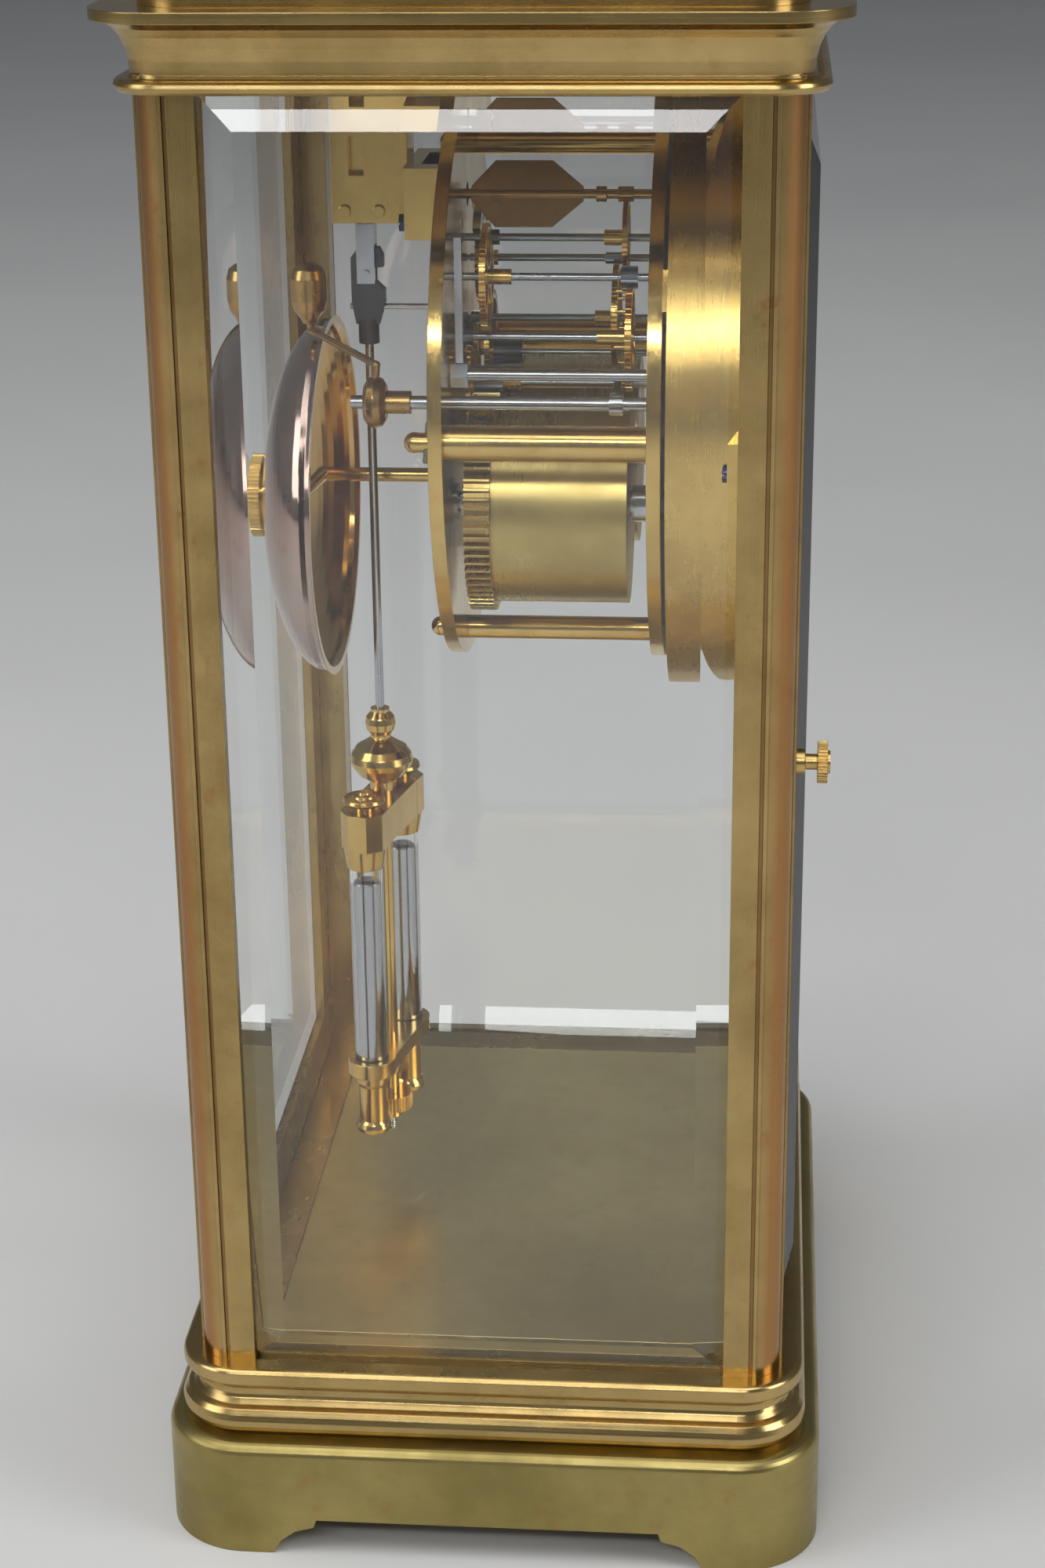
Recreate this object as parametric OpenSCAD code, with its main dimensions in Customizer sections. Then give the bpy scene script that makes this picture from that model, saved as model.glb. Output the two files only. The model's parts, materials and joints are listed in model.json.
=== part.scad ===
// Crystal regulator clock: a brass and glass case, a round striking movement, a bell and a mercury pendulum.
// Millimetres. The origin is under the middle of the base, +Z is up and the dial faces -Y.

/* [Case] */
// width over the corner pillars
case_w = 161; // [157:0.5:166]
// depth over the corner pillars
case_d = 117; // [115:0.5:122]
// clear height from the sill to the cornice
case_h = 249.6; // [246:0.2:256]
// side of a corner pillar
post_w = 11.6; // [11.2:0.1:12.4]
// radius of the rounded outer edge of a pillar
post_round = 5.9; // [5.2:0.1:6.4]
// height of the plinth
plinth_h = 24.6; // [22:0.2:28]
// how far the plinth stands out past the pillars
plinth_out = 8; // [7:0.1:10]
// radius of the plinth's corners in plan
plinth_r = 17; // [15:0.5:20]
// height of the arches between the feet
arch_h = 8; // [5:0.5:10]
// height of the sill moulding
sill_h = 15.3; // [14:0.1:18]
// how far the sill's lip stands out past the pillars
sill_out = 4.4; // [3.5:0.1:5.5]
// height of the cornice
cornice_h = 14.3; // [13:0.1:17]
// how far the cornice slab stands out past the pillars
cornice_out = 7.1; // [6:0.1:8]
// height of the raised roof
roof_h = 8.2; // [6:0.1:11]
// thickness of the floor plate
floor_t = 2; // [1.5:0.1:3]
// shank radius of the case screws
screw_r = 1.5; // [1.2:0.1:1.8]

/* [Glass and doors] */
// thickness of the panes
pane_t = 4; // [3.6:0.1:4.4]
// width of the bevel round each pane
bevel_w = 8; // [6:0.5:10]
// depth of the bevel at the edge of the pane
bevel_d = 2.8; // [2:0.1:3]
// depth of the grooves that hold the side panes
groove_d = 2; // [1.5:0.1:2.4]
// thickness of the door frames
door_t = 5.6; // [5.2:0.1:6]
// width of a door frame in front of its pane
stile_w = 7.1; // [6.8:0.1:9]
// radius of the hinge pins
hinge_r = 1.2; // [1:0.1:1.5]
// radius of the door knobs
knob_r = 4; // [3:0.1:5]

/* [Movement] */
// drop of the dial centre below the cornice
centre_drop = 67.4; // [66:0.2:68.8]
// radius of the movement plates
plate_r = 54.8; // [54.2:0.1:55.2]
// thickness of the movement plates
plate_t = 2.7; // [2.5:0.1:3]
// front face of the front plate behind the middle of the case
plate_front = 32.4; // [32:0.1:32.6]
// clear space between the plates
plate_gap = 37.9; // [37.6:0.1:38.4]
// radius of the side pillars between the plates
side_pillar_r = 3.4; // [3:0.1:3.6]
// radius of the other pillars between the plates
low_pillar_r = 2.4; // [2.2:0.1:2.7]
// outer radius of the dial ring
ring_r = 60.2; // [59.8:0.1:60.8]
// depth of the dial ring
ring_d = 13.9; // [13.7:0.1:14.1]
// thickness of the dial
dial_t = 1.6; // [1.2:0.1:1.8]
// sideways distance of the winding arbors from the dial centre
barrel_x = 22.5; // [22.2:0.1:23.2]
// drop of the winding arbors below the dial centre
barrel_drop = 18.9; // [18.5:0.1:19.3]
// radius of the spring drums
drum_r = 19.6; // [18.5:0.1:19.8]
// radius of the wheel arbors
arbor_r = 0.75; // [0.65:0.05:0.8]
// radius of the wheel pivots
pivot_r = 0.45; // [0.4:0.01:0.5]
// swing radius of the fly
fly_r = 6.4; // [5.5:0.1:6.6]
// radius of the escape wheel
escape_r = 9; // [8.5:0.1:9.2]
// length of the minute hand
minute_len = 45.5; // [42:0.5:48]
// length of the hour hand
hour_len = 31.5; // [28:0.5:34]

/* [Bell and pendulum] */
// radius of the bell
bell_r = 37; // [35:0.5:37.5]
// depth of the bell
bell_depth = 14; // [12:0.5:15]
// height of the bell's centre under the dial centre
bell_drop = 24.1; // [23.6:0.1:26]
// distance of the pendulum rod behind the middle of the case
rod_y = 28.7; // [28.4:0.1:29]
// radius of the pendulum rod
rod_r = 0.9; // [0.8:0.05:1]
// outer radius of the mercury jars
jar_r = 3.6; // [3.3:0.1:3.9]
// distance of each jar from the rod
jar_x = 11; // [10.5:0.5:12]
// height of the mercury jars
jar_h = 57; // [50:0.5:60]
// distance of the jars' foot above the sill
jar_foot = 33; // [30:0.5:36]
// depth of the mercury
mercury_h = 42.6; // [34:0.2:46]
// how far the bob is turned on its rod, in degrees
bob_turn = 13; // [0:1:15]

/* [Fits] */
// radial clearance of turning pins and pivots
run = 0.08; // [0.06:0.01:0.1]
// radial clearance of fixed pins and screws
fit = 0.05; // [0.03:0.01:0.06]
// clearance round a door
door_gap = 0.4; // [0.35:0.05:0.6]

/* [Hidden] */
$fn = 48;
brass = [0.78, 0.63, 0.32];
steel = [0.55, 0.57, 0.6];
clear = [0.8, 0.9, 0.88, 0.35];
white = [0.95, 0.94, 0.9];
blued = [0.15, 0.17, 0.3];

hx = case_w / 2;
hy = case_d / 2;
z1 = plinth_h + sill_h;
z2 = z1 + case_h;
z3 = z2 + cornice_h;
post_mid = [hx - post_w / 2, hy - post_w / 2];
ledge_z = plinth_h - 5;
flange_z = z2 + 3.2;
screw_head = 2;
small_r = 0.9;

// panes
pane_w = 2 * (hy - post_w) + 2 * groove_d - 0.3;
pane_h = case_h + 2 * groove_d - 0.3;
pane_out = hx - 0.7;
pane_in = pane_out - pane_t;
groove_t = pane_t - bevel_d * (1 - groove_d / bevel_w) + 0.3;

// doors
door_w = hx - post_w - door_gap;
door_z0 = z1 + door_gap;
door_z1 = z2 - door_gap;
door_mid = (z1 + z2) / 2;
door_y = hy - 0.3 - door_t / 2;
pivot_x = door_w - door_t / 2;
light_w = 2 * (door_w - stile_w);
light_h = door_z1 - door_z0 - 2 * stile_w;
front_seat = 1.6;
back_seat = door_t - 2;
lap = 4;
knob_x = -(door_w - stile_w / 2 + 0.2);
stem_r = 1.5;
latch_y = door_y - door_t / 2;
latch_len = 7;
latch_w = 4;
latch_t = 1.6;
latch_back = 2.8;
latch_in = norm([latch_len, latch_w / 2]) - knob_x;
knob_out = door_t / 2 + 4.4;

// movement planes, from the front of the clock to the back
fy0 = -plate_front;
fy1 = fy0 + plate_t;
ry0 = fy1 + plate_gap;
ry1 = ry0 + plate_t;
strike_y = ry0 - 7.5;
going_y = ry0 - 9.1;
great_t = 5;
drum_y = fy1 + 4.2;
ring_back = fy0 - 1;

// wheel teeth and modules
great_n = 72;
great_m = 0.58;
great_p = 10;
s1_n = 48;
s1_m = 0.425;
s2_n = 52;
s2_m = 0.39;
s3_n = 60;
s3_m = 0.33;
s4_n = 48;
s4_m = 0.32;
g1_n = 64;
c_n = 84;
c_m = 0.29;
g3_n = 75;
g3_m = 0.295;
leaf8 = 8;
leaf10 = 10;
leaf7 = 7;
escape_n = 40;
cannon_n = 12;
minute_n = 36;
minute_m = 0.5;
minute_p = 10;
hour_n = 40;
hour_m = minute_m * (cannon_n + minute_n) / (minute_p + hour_n);

function mesh(n, p, m) = m * (n + p) / 2;
function go(p, d, a) = [p[0] + d * cos(a), p[1] + d * sin(a)];
function bearing(p, q) = atan2(q[1] - p[1], q[0] - p[0]);

// arbor centres as [x, z]
C = [0, z2 - centre_drop];
S0 = [-barrel_x, C[1] - barrel_drop];
S1 = go(S0, mesh(great_n, great_p, great_m), 69);
S2 = go(S1, mesh(s1_n, leaf8, s1_m), 120);
S3 = go(S2, mesh(s2_n, leaf10, s2_m), 97);
S4 = go(S3, mesh(s3_n, leaf8, s3_m), 32);
FL = go(S4, mesh(s4_n, leaf8, s4_m), 103);
G0 = [barrel_x, C[1] - barrel_drop];
G1 = go(G0, mesh(great_n, great_p, great_m), 111);
g1_m = 2 * norm(G1 - C) / (g1_n + leaf10);
G3 = go(C, mesh(c_n, leaf8, c_m), 90);
E = go(G3, mesh(g3_n, leaf7, g3_m), 90);
A = go(E, escape_r + 3.6, 90);
M = go(C, mesh(minute_n, cannon_n, minute_m), 55);
H = [C[0] - 38, C[1] + 4.6];
L = [C[0] - 38, C[1] + 10.1];
pillars = [
    [go(C, plate_r - 5.5, 180.5), side_pillar_r],
    [go(C, plate_r - 5.5, -0.5), side_pillar_r],
    [go(C, plate_r - 5.2, 256), low_pillar_r],
    [go(C, plate_r - 5, 65), low_pillar_r]
];
tenon_r = 1.9;
pin_r = 0.55;
barrel_pivot_r = 2;
wind_r = 2.5;
hammer_r = 1.3;
cannon_r = 1.6;
pipe_r = 2.7;
hand_square = 1.8;
flange_angles = [30, 150, 270];
flange_r = plate_r - 2.6;

// bell, hammer and pendulum
bell_z = C[1] - bell_drop;
bell_y = ry1 + 25.6;
bell_top = bell_y + bell_depth;
stand_x = 12;
stand_z = bell_z + 6;
stand_r = 1.5;
bob_z0 = z1 + jar_foot;
bob_z1 = bob_z0 + jar_h;
cock_y0 = ry1 + 5.5;
cock_y1 = cock_y0 + 3;
cheek_y1 = rod_y + 6;
cock_x = 10.5;
hook_pin_z = A[1] - 15.6;
hook_top = hook_pin_z + 5;
hook_foot = A[1] - 27;
block_z = bob_z1 + 2.7;
nut_top = bob_z0 - 11.6;
hook_pin_r = 0.8;
side_screw_x = hx - post_w + 3;
ring_front = fy0 - ring_d;
bezel_r = ring_r + 0.6;

// points of an arc from angle a to angle b
function arc(c, rx, ry, a, b, n = 6) = [
    for (i = [0:n])
        let (t = a + (b - a) * i / n) [c[0] + rx * cos(t), c[1] + ry * sin(t)]
];

// outline of a toothed wheel with one tooth pointing at angle a
function toothed(n, root, tip, wr, wt, a) = [
    for (i = [0:n - 1], q = [[-wr, root], [-wt, tip], [wt, tip], [wr, root]])
        q[1] * [cos(a + 360 / n * (i + q[0])), sin(a + 360 / n * (i + q[0]))]
];
function wheel_points(n, m, a) = toothed(n, m * (n / 2 - 1.35), m * (n / 2 + 0.9), 0.27, 0.11, a);
function pinion_points(n, m, a) = toothed(n, m * (n / 2 - 1.3), m * (n / 2 + 0.6), 0.21, 0.14, a);

// a moulding carried round a rectangle with rounded corners; points are [offset from the outer face, height]
module band(w, d, r, points) {
    for (s = [0, 180]) rotate([0, 0, s]) {
        translate([r - w, 0, 0]) rotate([90, 0, 90]) linear_extrude(2 * (w - r))
            polygon([for (q = points) [d + q[0], q[1]]]);
        translate([0, d - r, 0]) rotate([90, 0, 0]) linear_extrude(2 * (d - r))
            polygon([for (q = points) [w + q[0], q[1]]]);
        translate([w - r, d - r, 0]) rotate_extrude(angle = 90) polygon([for (q = points) [r + q[0], q[1]]]);
        translate([r - w, d - r, 0]) rotate([0, 0, 90]) rotate_extrude(angle = 90)
            polygon([for (q = points) [r + q[0], q[1]]]);
    }
}

// a block given by its half sizes in plan and its bottom and top
module slab(w, d, z0, z1) {
    translate([-w, -d, z0]) cube([2 * w, 2 * d, z1 - z0]);
}

// a bar along Y at [x, z] from ya to yb
module rod(p, ya, yb, r) {
    translate([p[0], yb, p[1]]) rotate([90, 0, 0]) cylinder(r = r, h = yb - ya);
}

// a flat outline in X and Z drawn out along Y from ya to yb
module sheet(p, ya, yb) {
    translate([p[0], yb, p[1]]) rotate([90, 0, 0]) linear_extrude(yb - ya) children();
}

// a straight wire between two points
module wire(a, b, r) {
    v = b - a;
    translate(a) rotate([0, acos(v[2] / norm(v)), atan2(v[1], v[0])]) cylinder(r = r, h = norm(v), $fn = 20);
}

// a wire through a list of points, with round bends
module bent_wire(points, r) {
    for (i = [0:len(points) - 2]) wire(points[i], points[i + 1], r);
    for (i = [1:len(points) - 2]) translate(points[i]) sphere(r = 1.08 * r, $fn = 20);
}

// a crossed-out wheel with its hub
module wheel(p, ya, yb, n, m, a) {
    rim = m * (n / 2 - 1.35) - max(0.9, 2.2 * m);
    hub = max(2, arbor_r + 1.1);
    sheet(p, ya, yb) {
        difference() {
            polygon(wheel_points(n, m, a));
            circle(r = rim);
        }
        circle(r = hub);
        for (k = [0:3]) rotate(45 + 90 * k) translate([hub - 0.4, -0.55]) square([rim - hub + 0.8, 1.1]);
    }
}

module pinion(p, ya, yb, n, m, a) {
    sheet(p, ya, yb) polygon(pinion_points(n, m, a));
}

// an arbor with a pivot at each end
module arbor(p, r = arbor_r) {
    rod(p, fy1 + 0.3, ry0 - 0.3, r);
    rod(p, fy1 - plate_t + 0.3, ry0 + plate_t - 0.3, pivot_r);
}

// a turned brass collet that carries a wheel
module collet(p, ya, yb) {
    rod(p, ya, yb, arbor_r + 0.75);
}

// a cheese-headed screw along Y whose head faces dir
module plate_screw(p, y, len, dir) {
    translate([p[0], y, p[1]]) rotate([90 * dir, 0, 0]) difference() {
        union() {
            translate([0, 0, -len]) cylinder(r = small_r, h = len);
            cylinder(r = small_r + 0.8, h = 1.2);
        }
        translate([-2, -0.25, 0.7]) cube([4, 0.5, 1]);
    }
}

// a round nut or button with a knurled edge, along +Z
module knurled(r, h, n) {
    linear_extrude(h) polygon(toothed(n, r - 0.35, r, 0.34, 0.16, 0));
}

module arch(w) {
    linear_extrude(600, center = true) polygon([
        [-w, -1], [-w, 0], [-w + 1.6, 0.36 * arch_h], [-w + 4.6, 0.64 * arch_h], [-w + 8.4, 0.78 * arch_h],
        [-w + 9, arch_h], [w - 9, arch_h], [w - 8.4, 0.78 * arch_h], [w - 4.6, 0.64 * arch_h],
        [w - 1.6, 0.36 * arch_h], [w, 0], [w, -1]
    ]);
}

module base_plinth() color(brass) difference() {
    band(hx + plinth_out, hy + plinth_out, plinth_r, concat(
        [[0, 0]],
        arc([-2.6, plinth_h - 2.6], 2.6, 2.6, 0, 90),
        [[-14.5, plinth_h], [-14.5, ledge_z], [-6, ledge_z], [-6, 0]]
    ));
    rotate([90, 0, 90]) arch(hy + plinth_out - 23);
    rotate([90, 0, 0]) arch(hx + plinth_out - 23);
    for (sx = [-1, 1], sy = [-1, 1]) translate([sx * post_mid[0], sy * post_mid[1], 0])
        cylinder(r = screw_r + fit, h = plinth_h + 1);
}

module base_sill() color(brass) difference() {
    union() {
        band(hx + sill_out, hy + sill_out, 13, concat(
            [[-11, plinth_h], [-1.6, plinth_h]],
            arc([-2.6, plinth_h + 3.6], 3.2, 3.2, -60, 75),
            arc([-0.6, z1 - 6.2], 2.6, 2.6, 215, 120),
            arc([-1.2, z1 - 2.4], 1.2, 1.6, -70, 0, 3),
            arc([-1.2, z1 - 1.2], 1.2, 1.2, 0, 90, 4),
            [[-11, z1]]
        ));
        slab(hx - 3, hy - 3, z1 - 7, z1);
    }
    slab(hx - post_w - 5, hy - post_w - 5, plinth_h, z1 + 1);
    slab(hx - post_w - 1.9, hy - post_w - 1.9, z1 - floor_t, z1 + 1);
    for (sx = [-1, 1]) translate([sx * (pane_in + pane_out) / 2, 0, z1])
        cube([pane_t + 0.2, pane_w + 0.2, 2 * groove_d], center = true);
    for (sx = [-1, 1], sy = [-1, 1]) translate([sx * post_mid[0], sy * post_mid[1], plinth_h - 1])
        cylinder(r = screw_r + fit, h = sill_h + 2);
    for (s = [0, 180]) rotate([0, 0, s]) translate([pivot_x, -door_y, z1 - 5])
        cylinder(r = hinge_r + fit, h = 6);
}

module floor_plate() color(brass)
    slab(hx - post_w - 2, hy - post_w - 2, z1 - floor_t, z1);

// one pillar in the +X +Y corner
module pillar(latch, lug) {
    step = 5;
    difference() {
        translate([0, 0, z1]) linear_extrude(case_h) intersection() {
            translate([hx - post_w, hy - post_w]) square(post_w);
            union() {
                difference() {
                    translate([hx - post_w, hy - post_w]) square(post_w);
                    translate([hx - post_w + step + 1.5, hy - post_w + step + 1.5]) square(post_w);
                }
                translate([hx - post_round - 0.3, hy - post_round - 0.3]) circle(r = post_round);
            }
        }
        translate([hx - 0.7, hy - post_w + step, z1 - 1]) cube([2, 0.8, case_h + 2]);
        translate([hx - post_w + step, hy - 0.7, z1 - 1]) cube([0.8, 2, case_h + 2]);
        translate([pane_in - 0.1, hy - post_w - 1, z1 - 1])
            cube([groove_t, groove_d + 1, case_h + 2]);
        for (z = [z1 - 1, z2 - 10]) translate([post_mid[0], post_mid[1], z])
            cylinder(r = screw_r + fit, h = 11);
        if (latch) translate([
            hx - post_w - 1, latch_y - latch_back - door_gap, door_mid - latch_w / 2 - door_gap
        ])
            cube([
                latch_in + door_gap - hx + post_w + 1, latch_t + 2 * door_gap,
                latch_w / 2 + latch_len + 2 * door_gap
            ]);
        if (lug) rod([side_screw_x, C[1]], hy - post_w - 1, hy - post_w + 5.2, small_r + fit);
    }
}

module pillar_front_left() color(brass) rotate([0, 0, 180]) pillar(true, true);

module pillar_front_right() color(brass) mirror([0, 1, 0]) pillar(false, true);

module pillar_back_left() color(brass) mirror([1, 0, 0]) pillar(false, false);

module pillar_back_right() color(brass) pillar(true, false);

module cornice() color(brass) difference() {
    union() {
        band(hx + cornice_out, hy + cornice_out, 14, concat(
            [[-12.5, z2], [-5, z2]],
            arc([-5, z2 + 1.3], 1.4, 1.3, -90, 90),
            [[-6.2, z2 + 2.6]],
            arc([-0.6, z2 + 3.2], 6, cornice_h - 5.2, 180, 90),
            [[0, z3 - 2], [0, z3], [-12.5, z3]]
        ));
        slab(hx - 1, hy - 1, z2, flange_z);
    }
    slab(hx - post_w - 5, hy - post_w - 5, z2 - 1, flange_z + 1);
    for (sx = [-1, 1]) translate([sx * (pane_in + pane_out) / 2, 0, z2])
        cube([pane_t + 0.2, pane_w + 0.2, 2 * groove_d], center = true);
    for (sx = [-1, 1], sy = [-1, 1]) translate([sx * post_mid[0], sy * post_mid[1], z2 - 1])
        cylinder(r = screw_r + fit, h = 8);
    for (sx = [-1, 1], sy = [-1, 1]) translate([sx * post_mid[0], sy * post_mid[1], flange_z])
        cylinder(r = 2 * screw_r + 0.3, h = screw_head + 0.3);
    for (s = [0, 180]) rotate([0, 0, s]) translate([pivot_x, -door_y, z2 - 1])
        cylinder(r = hinge_r + fit, h = 4.9);
}

module roof_plate() color(brass) {
    band(hx - 0.5, hy - 0.5, 11, concat(
        [[-10.5, z3], [0, z3], [0, z3 + 2.4]],
        arc([-5, z3 + 2.4], 4.2, roof_h - 3.6, 0, 70),
        [[-4.4, z3 + roof_h - 1.2]],
        arc([-5.6, z3 + roof_h - 1.2], 1.2, 1.2, 0, 90, 4),
        [[-10.5, z3 + roof_h]]
    ));
    slab(hx - 8, hy - 8, z3 + roof_h - 3, z3 + roof_h);
    difference() {
        slab(hx + cornice_out - 12.7, hy + cornice_out - 12.7, z3 - 1.5, z3 + 1.2);
        slab(hx - 10.8, hy - 10.8, z3 - 2, z3 + 2);
    }
}

// a pane lying flat with its bevelled face up
module pane(w, h) {
    function edge(s) = [
        [-s / 2, 0], [s / 2, 0], [s / 2, pane_t - bevel_d], [s / 2 - bevel_w, pane_t],
        [bevel_w - s / 2, pane_t], [-s / 2, pane_t - bevel_d]
    ];
    intersection() {
        translate([0, h / 2, 0]) rotate([90, 0, 0]) linear_extrude(h) polygon(edge(w));
        translate([-w / 2, 0, 0]) rotate([90, 0, 90]) linear_extrude(w) polygon(edge(h));
    }
}

module side_glass_right() color(clear)
    translate([pane_in, 0, door_mid - 0.15]) rotate([90, 0, 90]) pane(pane_w, pane_h);

module side_glass_left() color(clear) mirror([1, 0, 0]) side_glass_right();

module case_screws() color(brass) for (sx = [-1, 1], sy = [-1, 1])
    translate([sx * post_mid[0], sy * post_mid[1], 0]) {
        translate([0, 0, ledge_z]) cylinder(r = screw_r, h = z1 + 9.5 - ledge_z);
        translate([0, 0, ledge_z - screw_head]) cylinder(r = 2 * screw_r, h = screw_head);
        translate([0, 0, z2 - 9.5]) cylinder(r = screw_r, h = flange_z - z2 + 9.5);
        translate([0, 0, flange_z]) cylinder(r = 2 * screw_r, h = screw_head);
    }

module door_pivots() color(steel) for (s = [0, 180]) rotate([0, 0, s]) translate([pivot_x, -door_y, 0]) {
    translate([0, 0, z1 - 5]) cylinder(r = hinge_r, h = 10);
    translate([0, 0, z2 - 5]) cylinder(r = hinge_r, h = 8.9);
}

// a door at the front of the case; seat is the depth of its pane's rebate
module door_frame(seat) {
    difference() {
        union() {
            translate([-door_w, -door_y - door_t / 2, door_z0])
                cube([door_w + pivot_x, door_t, door_z1 - door_z0]);
            translate([pivot_x, -door_y, door_z0]) cylinder(r = door_t / 2, h = door_z1 - door_z0);
        }
        translate([lap - light_w / 2, -door_y - door_t, door_mid - light_h / 2 + lap])
            cube([light_w - 2 * lap, 2 * door_t, light_h - 2 * lap]);
        translate([-light_w / 2 - 0.1, -door_y - 1.5 * door_t + seat, door_mid - light_h / 2 - 0.1])
            cube([light_w + 0.2, door_t, light_h + 0.2]);
        for (z = [door_z0 - 1, door_z1 - 5]) translate([pivot_x, -door_y, z])
            cylinder(r = hinge_r + run, h = 6);
        rod([knob_x, door_mid], -door_y - door_t, -door_y + door_t, stem_r + run);
    }
}

module door_glass(seat) {
    translate([0, -door_y - door_t / 2 + seat, door_mid]) rotate([90, 0, 0]) pane(light_w, light_h);
}

// a knurled knob whose stem carries the latch tongue behind the door
module door_knob() translate([knob_x, -door_y, door_mid]) rotate([90, 0, 0]) {
    translate([0, 0, -door_t / 2 - 3]) cylinder(r = stem_r, h = knob_out + door_t / 2 + 3.2);
    translate([0, 0, door_t / 2 + 0.3]) cylinder(r = 2.4, h = 1.8);
    translate([0, 0, knob_out]) knurled(knob_r, 1.9, 36);
    translate([0, 0, knob_out + 1.8]) cylinder(r = 2.2, h = 0.6);
    translate([-latch_w / 2, -latch_w / 2, -door_t / 2 - latch_back])
        cube([latch_w, latch_w / 2 + latch_len, latch_t]);
}

module front_door_frame() color(brass) door_frame(front_seat);

module front_door_glass() color(clear) door_glass(front_seat);

module front_door_knob() color(brass) door_knob();

module back_door_frame() color(brass) rotate([0, 0, 180]) door_frame(back_seat);

module back_door_glass() color(clear) rotate([0, 0, 180]) door_glass(back_seat);

module back_door_knob() color(brass) rotate([0, 0, 180]) door_knob();

// the holes shared by both movement plates
module plate_holes(ya, yb) {
    for (p = [S1, S2, S3, S4, FL, G1, G3, E, L]) rod(p, ya, yb, pivot_r + run);
    for (p = [S0, G0]) rod(p, ya, yb, barrel_pivot_r + run);
    for (q = pillars) rod(q[0], ya, yb, tenon_r + fit);
}

module front_plate() color(brass) difference() {
    rod(C, fy0, fy1, plate_r, $fn = 96);
    plate_holes(fy0 - 1, fy1 + 1);
    for (p = [H, A]) rod(p, fy0 - 1, fy1 + 1, pivot_r + run);
    rod(C, fy0 - 1, fy1 + 1, 1 + run);
    rod(M, fy0 - 1, fy1 + 1, pivot_r + run);
    for (a = flange_angles) rod(go(C, flange_r, a), fy0 - 1, fy1 + 1, small_r + fit);
}

module rear_plate() color(brass) difference() {
    rod(C, ry0, ry1, plate_r, $fn = 96);
    plate_holes(ry0 - 1, ry1 + 1);
    rod(C, ry0 - 1, ry1 + 1, pivot_r + run);
    rod(H, ry0 - 1, ry1 + 1, hammer_r + run);
    rod(A, ry0 - 1, ry1 + 1, 2.4);
    for (sx = [-1, 1]) rod([sx * cock_x, A[1] - 4], ry0 - 1, ry1 + 1, small_r + fit);
    rod([stand_x, stand_z], ry0 - 1, ry1 + 1, small_r + fit);
}

module plate_pillars() color(brass) for (q = pillars) difference() {
    union() {
        rod(q[0], fy1, ry0, q[1]);
        rod(q[0], fy0 + 0.3, ry1 + 3.2, tenon_r);
        translate([q[0][0], ry1 + 3, q[0][1]]) sphere(r = tenon_r + 0.1);
    }
    wire([q[0][0] - 4, ry1 + 0.65, q[0][1] - 4], [q[0][0] + 4, ry1 + 0.65, q[0][1] + 4], pin_r + fit);
}

module pillar_pins() color(steel) for (q = pillars)
    wire([q[0][0] - 3, ry1 + 0.65, q[0][1] - 3], [q[0][0] + 3, ry1 + 0.65, q[0][1] + 3], pin_r);

// ring that joins the movement to the front pillars and carries the dial
module dial_ring() color(brass) difference() {
    union() {
        translate([C[0], 0, C[1]]) rotate([90, 0, 0]) rotate_extrude($fn = 96) polygon([
            [plate_r + 0.3, -ring_back], [ring_r, -ring_back], [ring_r, -ring_front],
            [ring_r - 3.3, -ring_front],
            [ring_r - 3.3, -ring_front - dial_t - 0.1], [ring_r - 5.5, -ring_front - dial_t - 0.1],
            [ring_r - 5.5, -ring_front - 3.3], [ring_r - 2.5, -ring_front - 3.3],
            [ring_r - 2.5, -ring_back + 2], [plate_r + 0.3, -ring_back + 2]
        ]);
        sheet(C, ring_back - 2, fy0) for (a = flange_angles) rotate(a) translate([flange_r - 2.4, -4])
            square([plate_r + 4.4 - flange_r, 8]);
        difference() {
            for (sx = [-1, 1]) translate([sx > 0 ? ring_r - 1 : -(hx - post_w + 6), post_w - hy, C[1] - 6])
                cube([hx - post_w + 7 - ring_r, 2.4, 12]);
            rod(C, -hy, ring_front, bezel_r + fit, $fn = 96);
        }
    }
    for (sx = [-1, 1]) rod([sx * side_screw_x, C[1]], -hy, post_w - hy + 4, small_r + fit);
    for (a = flange_angles) rod(go(C, flange_r, a), ring_back - 3, fy0 + 1, small_r + fit);
}

module bezel() color(brass) translate([C[0], ring_front, C[1]]) rotate([90, 0, 0]) rotate_extrude($fn = 96)
    polygon(concat([[ring_r - 6.5, 0], [bezel_r, 0], [bezel_r, 0.8]],
        arc([bezel_r - 4, 0.8], 4, 2.8, 0, 150), [[ring_r - 7.2, 0.8]]));

module dial() color(white) difference() {
    rod(C, ring_front, ring_front + dial_t, ring_r - 3.5, $fn = 96);
    rod(C, ring_front - 5, fy0, 4);
    for (p = [S0, G0]) rod(p, ring_front - 5, fy0, 3.6);
}

module plate_screws() color(steel) {
    for (a = flange_angles) plate_screw(go(C, flange_r, a), ring_back - 2, fy1 - ring_back + 1.6, 1);
    for (sx = [-1, 1]) plate_screw([sx * cock_x, A[1] - 4], cock_y1, cock_y1 - ry0 - 0.4, -1);
    for (sx = [-1, 1]) plate_screw([sx * side_screw_x, C[1]], post_w - hy + 2.4, 7.2, -1);
    plate_screw([stand_x, stand_z], ry1 + 2.4, 4.8, -1);
}

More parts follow.
